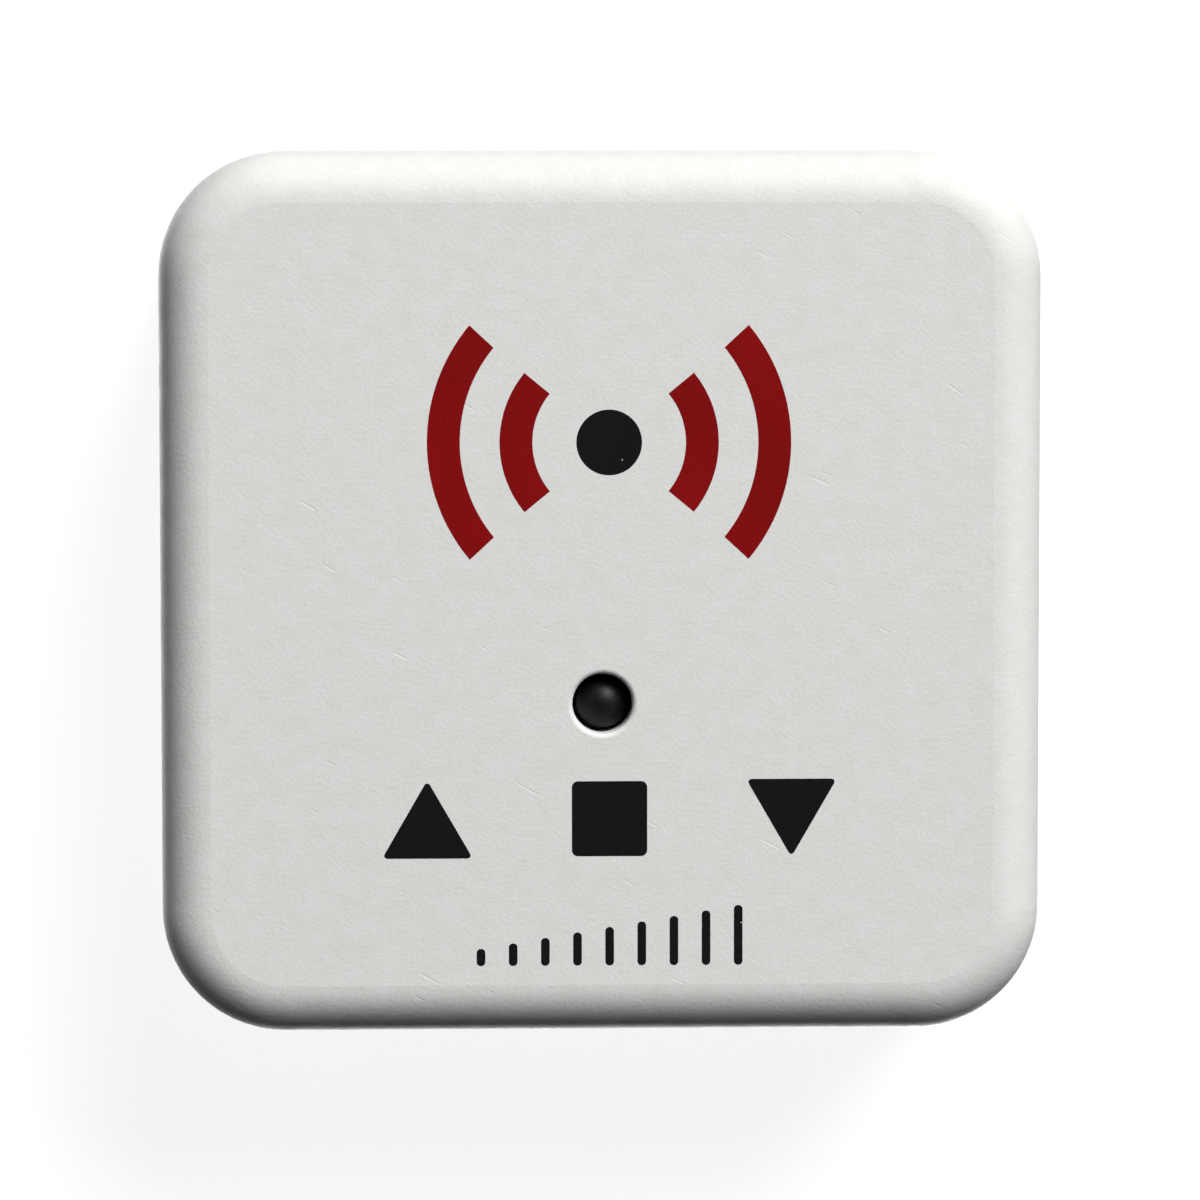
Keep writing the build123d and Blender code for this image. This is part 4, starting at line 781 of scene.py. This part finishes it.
def round_corners(sign):
    """The corners of a flat sign, cut round."""

    def bevel():
        bpy.ops.mesh.bevel(offset=CORNER_ROUND, segments=CORNER_STEPS, affect="VERTICES")

    deselect_all()
    sign.select_set(True)
    bpy.context.view_layer.objects.active = sign
    in_edit_mode(bevel)
    return sign


def control_sign(name, corners, radius, x, turn, sink=0.0):
    """One rounded control sign, lowered so that all three share a middle line."""
    sign = flat_sign(name, corners, radius, SIGN_X + x, SIGNS_Y - sink, turn)
    return settle(round_corners(sign), black_ink)


open_sign = control_sign("open_sign", 3, TRIANGLE_RADIUS, -SIGNS_APART, 0.0, TRIANGLE_RADIUS / 4)
stop_sign = control_sign("stop_sign", 4, SQUARE_RADIUS, 0.0, math.pi / 4)
close_sign = control_sign("close_sign", 3, TRIANGLE_RADIUS, SIGNS_APART, math.pi, -TRIANGLE_RADIUS / 4)
control_signs = join_pieces([open_sign, stop_sign, close_sign], "printed_controls")
tell(control_signs)

# %% [markdown]
# ## A scale of ticks
#
# The lowest line of printing is thin and small. A scale for the strength of the signal keeps
# that weight: nine thin bars that stand on one line and grow to the right. Each is a square
# that is stretched, and whose corners are beveled until its ends are round.

# %% The signal scale
SCALE_LOW = -21.6 * MM
SCALE_LENGTH = 15.0 * MM
TICK_COUNT = 9
TICK_WIDTH = 0.5 * MM
TICK_SHORTEST = 1.0 * MM
TICK_TALLEST = 3.5 * MM
TICK_ROUND = TICK_WIDTH * 0.45
TICK_STEPS = 4


def tick(number):
    """One bar of the scale, counted from the left."""
    share = number / (TICK_COUNT - 1)
    height = TICK_SHORTEST + (TICK_TALLEST - TICK_SHORTEST) * share
    x = SIGN_X + (share - 0.5) * SCALE_LENGTH
    deselect_all()
    place = (x, SCALE_LOW + height / 2, FACE_LEVEL + INK_PROUD)
    bpy.ops.mesh.primitive_plane_add(size=1.0, location=place)
    bar = active_named(f"tick_{number}")
    bar.scale = (TICK_WIDTH, height, 1.0)
    bpy.ops.object.transform_apply(location=False, rotation=False, scale=True)

    def bevel():
        bpy.ops.mesh.bevel(offset=TICK_ROUND, segments=TICK_STEPS, affect="VERTICES")

    in_edit_mode(bevel)
    return settle(bar, black_ink)


signal_scale = join_pieces([tick(number) for number in range(TICK_COUNT)], "printed_scale")
tell(signal_scale)

# %% [markdown]
# ## Raised terminal numbers
#
# The six wire entries are in the lower side wall, and a fitter has to know which is which. The
# mould leaves raised numbers above them, in the same white plastic. Text is extruded a little,
# turned to face out of the wall and leaned back by the wall's draft of one degree. It is made a
# mesh before its place is applied, because text can't keep a turned place.

# %% Numbers above the wire entries
POLES = 6
NUMBER_HEIGHT = 2.3 * MM
NUMBER_LEVEL = 15.3 * MM
NUMBER_PROUD = 0.12 * MM
DRAFT = math.radians(1.0)
BACK_COVER_TOP = 2.0 * MM

wall_y = cad_low.y + (NUMBER_LEVEL - BACK_COVER_TOP) * math.tan(DRAFT)


def raised_number(pole):
    """The number of one pole, raised on the wall above its entry."""
    low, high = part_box(f"clamp_screw_{pole}")
    deselect_all()
    place = ((low.x + high.x) / 2, wall_y, NUMBER_LEVEL)
    bpy.ops.object.text_add(location=place, rotation=(math.pi / 2 - DRAFT, 0, 0))
    number = active_named(f"number_{pole}")
    number.data.body = str(pole)
    number.data.size = NUMBER_HEIGHT
    number.data.align_x = "CENTER"
    number.data.align_y = "CENTER"
    number.data.extrude = NUMBER_PROUD
    number.data.bevel_depth = NUMBER_PROUD / 4
    number.data.resolution_u = 6
    bpy.ops.object.convert(target="MESH")
    bpy.ops.object.transform_apply(location=True, rotation=True, scale=True)
    number.data.materials.append(case_white)
    return number


numbers = [raised_number(pole) for pole in range(1, POLES + 1)]
terminal_numbers = join_pieces(numbers, "terminal_numbers")
tell(terminal_numbers)

# %% [markdown]
# ## The snap dome
#
# Under the plunger of the push switch lies a dish of thin spring steel. It gives the click:
# pressed, it buckles almost flat, and it springs back when the finger lets go. A rigid solid
# can't do that, so a sheet of mesh stands for the CAD one here. It starts as a disc, which is
# inset ring by ring and lifted a little less each time, and a Solidify modifier gives it its
# thickness.

# %% The spring dish of the switch
DISH_SHEET = 0.1 * MM
DISH_RINGS = 7
DISH_CORNERS = 64


def make_snap_dome():
    """A crowned disc of thin sheet, in the place of the CAD one."""
    low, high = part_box("switch_dome")
    radius = (high.x - low.x) / 2
    rise = high.z - low.z - DISH_SHEET
    deselect_all()
    bpy.ops.mesh.primitive_circle_add(vertices=DISH_CORNERS, radius=radius, fill_type="NGON",
                                      location=(low.x + radius, low.y + radius, low.z + DISH_SHEET))
    dish = active_named("snap_dome")

    def crown():
        for ring in range(1, DISH_RINGS):
            outer = 1 - (ring - 1) / DISH_RINGS
            inner = 1 - ring / DISH_RINGS
            bpy.ops.mesh.inset(thickness=radius / DISH_RINGS, depth=rise * (outer ** 2 - inner ** 2))

    in_edit_mode(crown)
    settle(dish, spring_metal, DISH_SHEET)
    bpy.ops.object.shade_smooth_by_angle(angle=math.radians(30))
    return dish


snap_dome = make_snap_dome()
tell(snap_dome)

# %% [markdown]
# ## What each new piece belongs to
#
# The printing, the numbers and the snap dome are part of the housing, so they ride on that body.
# In the real switch the dome flattens towards its rim to about half its height as the button goes in,
# which is as far as the plunger comes down; here it only gets a mesh of its own. The numbers use the
# finish of the case, and the dome uses that of the spring metal.

new_pieces = (signal_waves, signal_dot, control_signs, signal_scale, terminal_numbers, snap_dome)
for piece in new_pieces:
    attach(piece, "housing")
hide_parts("switch_dome")
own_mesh(snap_dome)
print(len(new_pieces), "new pieces ride on the housing")

# %% [markdown]
# ## The floor
#
# The photograph shows the box on plain white. The floor is white to the camera, to mirrors and
# to glass, but dull to the light that bounces off it, because the box's lower and left rolls are
# dark there: little light reached them from below. Light Path tells the two kinds of ray apart.
# The floor still catches the box's shadow. It is see-through from underneath and lets lamplight
# through, so that the back of the box can be looked at.

# %% A floor that is white to look at
FLOOR_SIZE = 6.0
FLOOR_GAP = 0.02 * MM
FLOOR_GLOW = 0.88
FLOOR_PAPER = (0.32, 0.32, 0.32, 1.0)
FLOOR_DULL = (0.02, 0.019, 0.018, 1.0)
WHITE = (1.0, 1.0, 1.0, 1.0)


def seen_rays(tree):
    """1 for rays that look straight, in a mirror or through glass, and 0 for bounced light."""
    path = add_node(tree, "LightPath").outputs
    mirrored = sum_of(tree, "MAXIMUM", path["Is Glossy Ray"], path["Is Transmission Ray"])
    return sum_of(tree, "MAXIMUM", path["Is Camera Ray"], mirrored)


def make_floor_finish():
    """White paper to the eye, dull to bounced light, open from below and to lamps."""
    material = bpy.data.materials.new("studio_floor")
    material.use_nodes = True
    tree = material.node_tree
    tree.nodes.clear()
    glow = add_node(tree, "Emission", {"Color": WHITE, "Strength": FLOOR_GLOW})
    paper = add_node(tree, "BsdfDiffuse", {"Color": FLOOR_PAPER})
    seen = add_node(tree, "AddShader", {0: glow.outputs[0], 1: paper.outputs[0]})
    dull = add_node(tree, "BsdfDiffuse", {"Color": FLOOR_DULL})
    upper = add_node(tree, "MixShader", {0: seen_rays(tree), 1: dull.outputs[0], 2: seen.outputs[0]})
    below = add_node(tree, "BsdfTransparent")
    back = add_node(tree, "NewGeometry").outputs["Backfacing"]
    open_ways = sum_of(tree, "MAXIMUM", back, add_node(tree, "LightPath").outputs["Is Shadow Ray"])
    both = add_node(tree, "MixShader", {0: open_ways, 1: upper.outputs[0], 2: below.outputs[0]})
    end = add_node(tree, "OutputMaterial")
    tree.links.new(both.outputs[0], end.inputs["Surface"])
    return material


deselect_all()
bpy.ops.mesh.primitive_plane_add(size=FLOOR_SIZE, location=(0, 0, cad_low.z - FLOOR_GAP))
floor = active_named("studio_floor")
floor.data.materials.append(make_floor_finish())
print("floor at", floor.location.z)

# %% [markdown]
# ## Light
#
# The photograph has one broad light from above and a little to the right, high enough to light
# the face and low enough to make the upper roll the brightest part. The left roll falls to mid
# grey and the lower one almost to black, so hardly any light comes from there. Area lamps give
# such soft falls. Three more lamps stand under the floor, for views of the wire entries, of
# the left wall and of the back. They are too low to reach more than the very edge of what the
# camera sees.

# %% The lamps
def area_light(name, place, size, power):
    """A square lamp that looks at the middle of the box."""
    bpy.ops.object.light_add(type="AREA", location=place)
    lamp = active_named(name)
    lamp.rotation_euler = (-Vector(place)).to_track_quat("-Z", "Y").to_euler()
    lamp.data.size = size
    lamp.data.energy = power
    lamp.visible_camera = False
    return lamp


key_light = area_light("window_light", (0.60, 1.06, 1.00), 0.9, 35.5)
left_light = area_light("left_light", (-1.20, 0.15, 0.20), 0.5, 0.4)
lower_wall_light = area_light("lower_wall_light", (0.10, -0.62, -1.15), 0.5, 12.0)
left_wall_light = area_light("left_wall_light", (-0.66, 0.10, -1.10), 0.5, 10.0)
back_light = area_light("back_light", (0.30, 0.20, -1.10), 0.8, 5.0)
lamps = (key_light, left_light, lower_wall_light, left_wall_light, back_light)
print("lamps of", [lamp.data.energy for lamp in lamps], "W")

# %% [markdown]
# ## The world
#
# The world is white to look at, and gives only a faint fill. Mirrors see it white too, apart
# from the part overhead: there the photographer stands before a dark ceiling, and the black
# dome shows it.

# %% The world
CEILING_TONE = 0.1
CEILING_FROM = 0.45
CEILING_FULL = 0.8
FAINT_FILL = 0.012


def make_world():
    """White to look at, nearly dark as a light."""
    world = bpy.data.worlds.new("studio_world")
    bpy.context.scene.world = world
    world.use_nodes = True
    tree = world.node_tree
    tree.nodes.clear()
    way = add_node(tree, "SeparateXYZ", {0: add_node(tree, "TexCoord").outputs["Generated"]}).outputs[2]
    overhead = spread(tree, way, CEILING_FROM, CEILING_FULL)
    mirrored = add_node(tree, "LightPath").outputs["Is Glossy Ray"]
    ceiling = sum_of(tree, "MULTIPLY", overhead, mirrored)
    tone = sum_of(tree, "SUBTRACT", 1.0, sum_of(tree, "MULTIPLY", ceiling, 1.0 - CEILING_TONE))
    white = add_node(tree, "Background", {"Color": WHITE, "Strength": tone})
    faint = add_node(tree, "Background", {"Color": WHITE, "Strength": FAINT_FILL})
    both = add_node(tree, "MixShader", {0: seen_rays(tree), 1: faint.outputs[0], 2: white.outputs[0]})
    end = add_node(tree, "OutputWorld")
    tree.links.new(both.outputs[0], end.inputs["Surface"])
    return world


studio_world = make_world()
bpy.context.scene.view_settings.view_transform = "Standard"
print("made", studio_world.name)
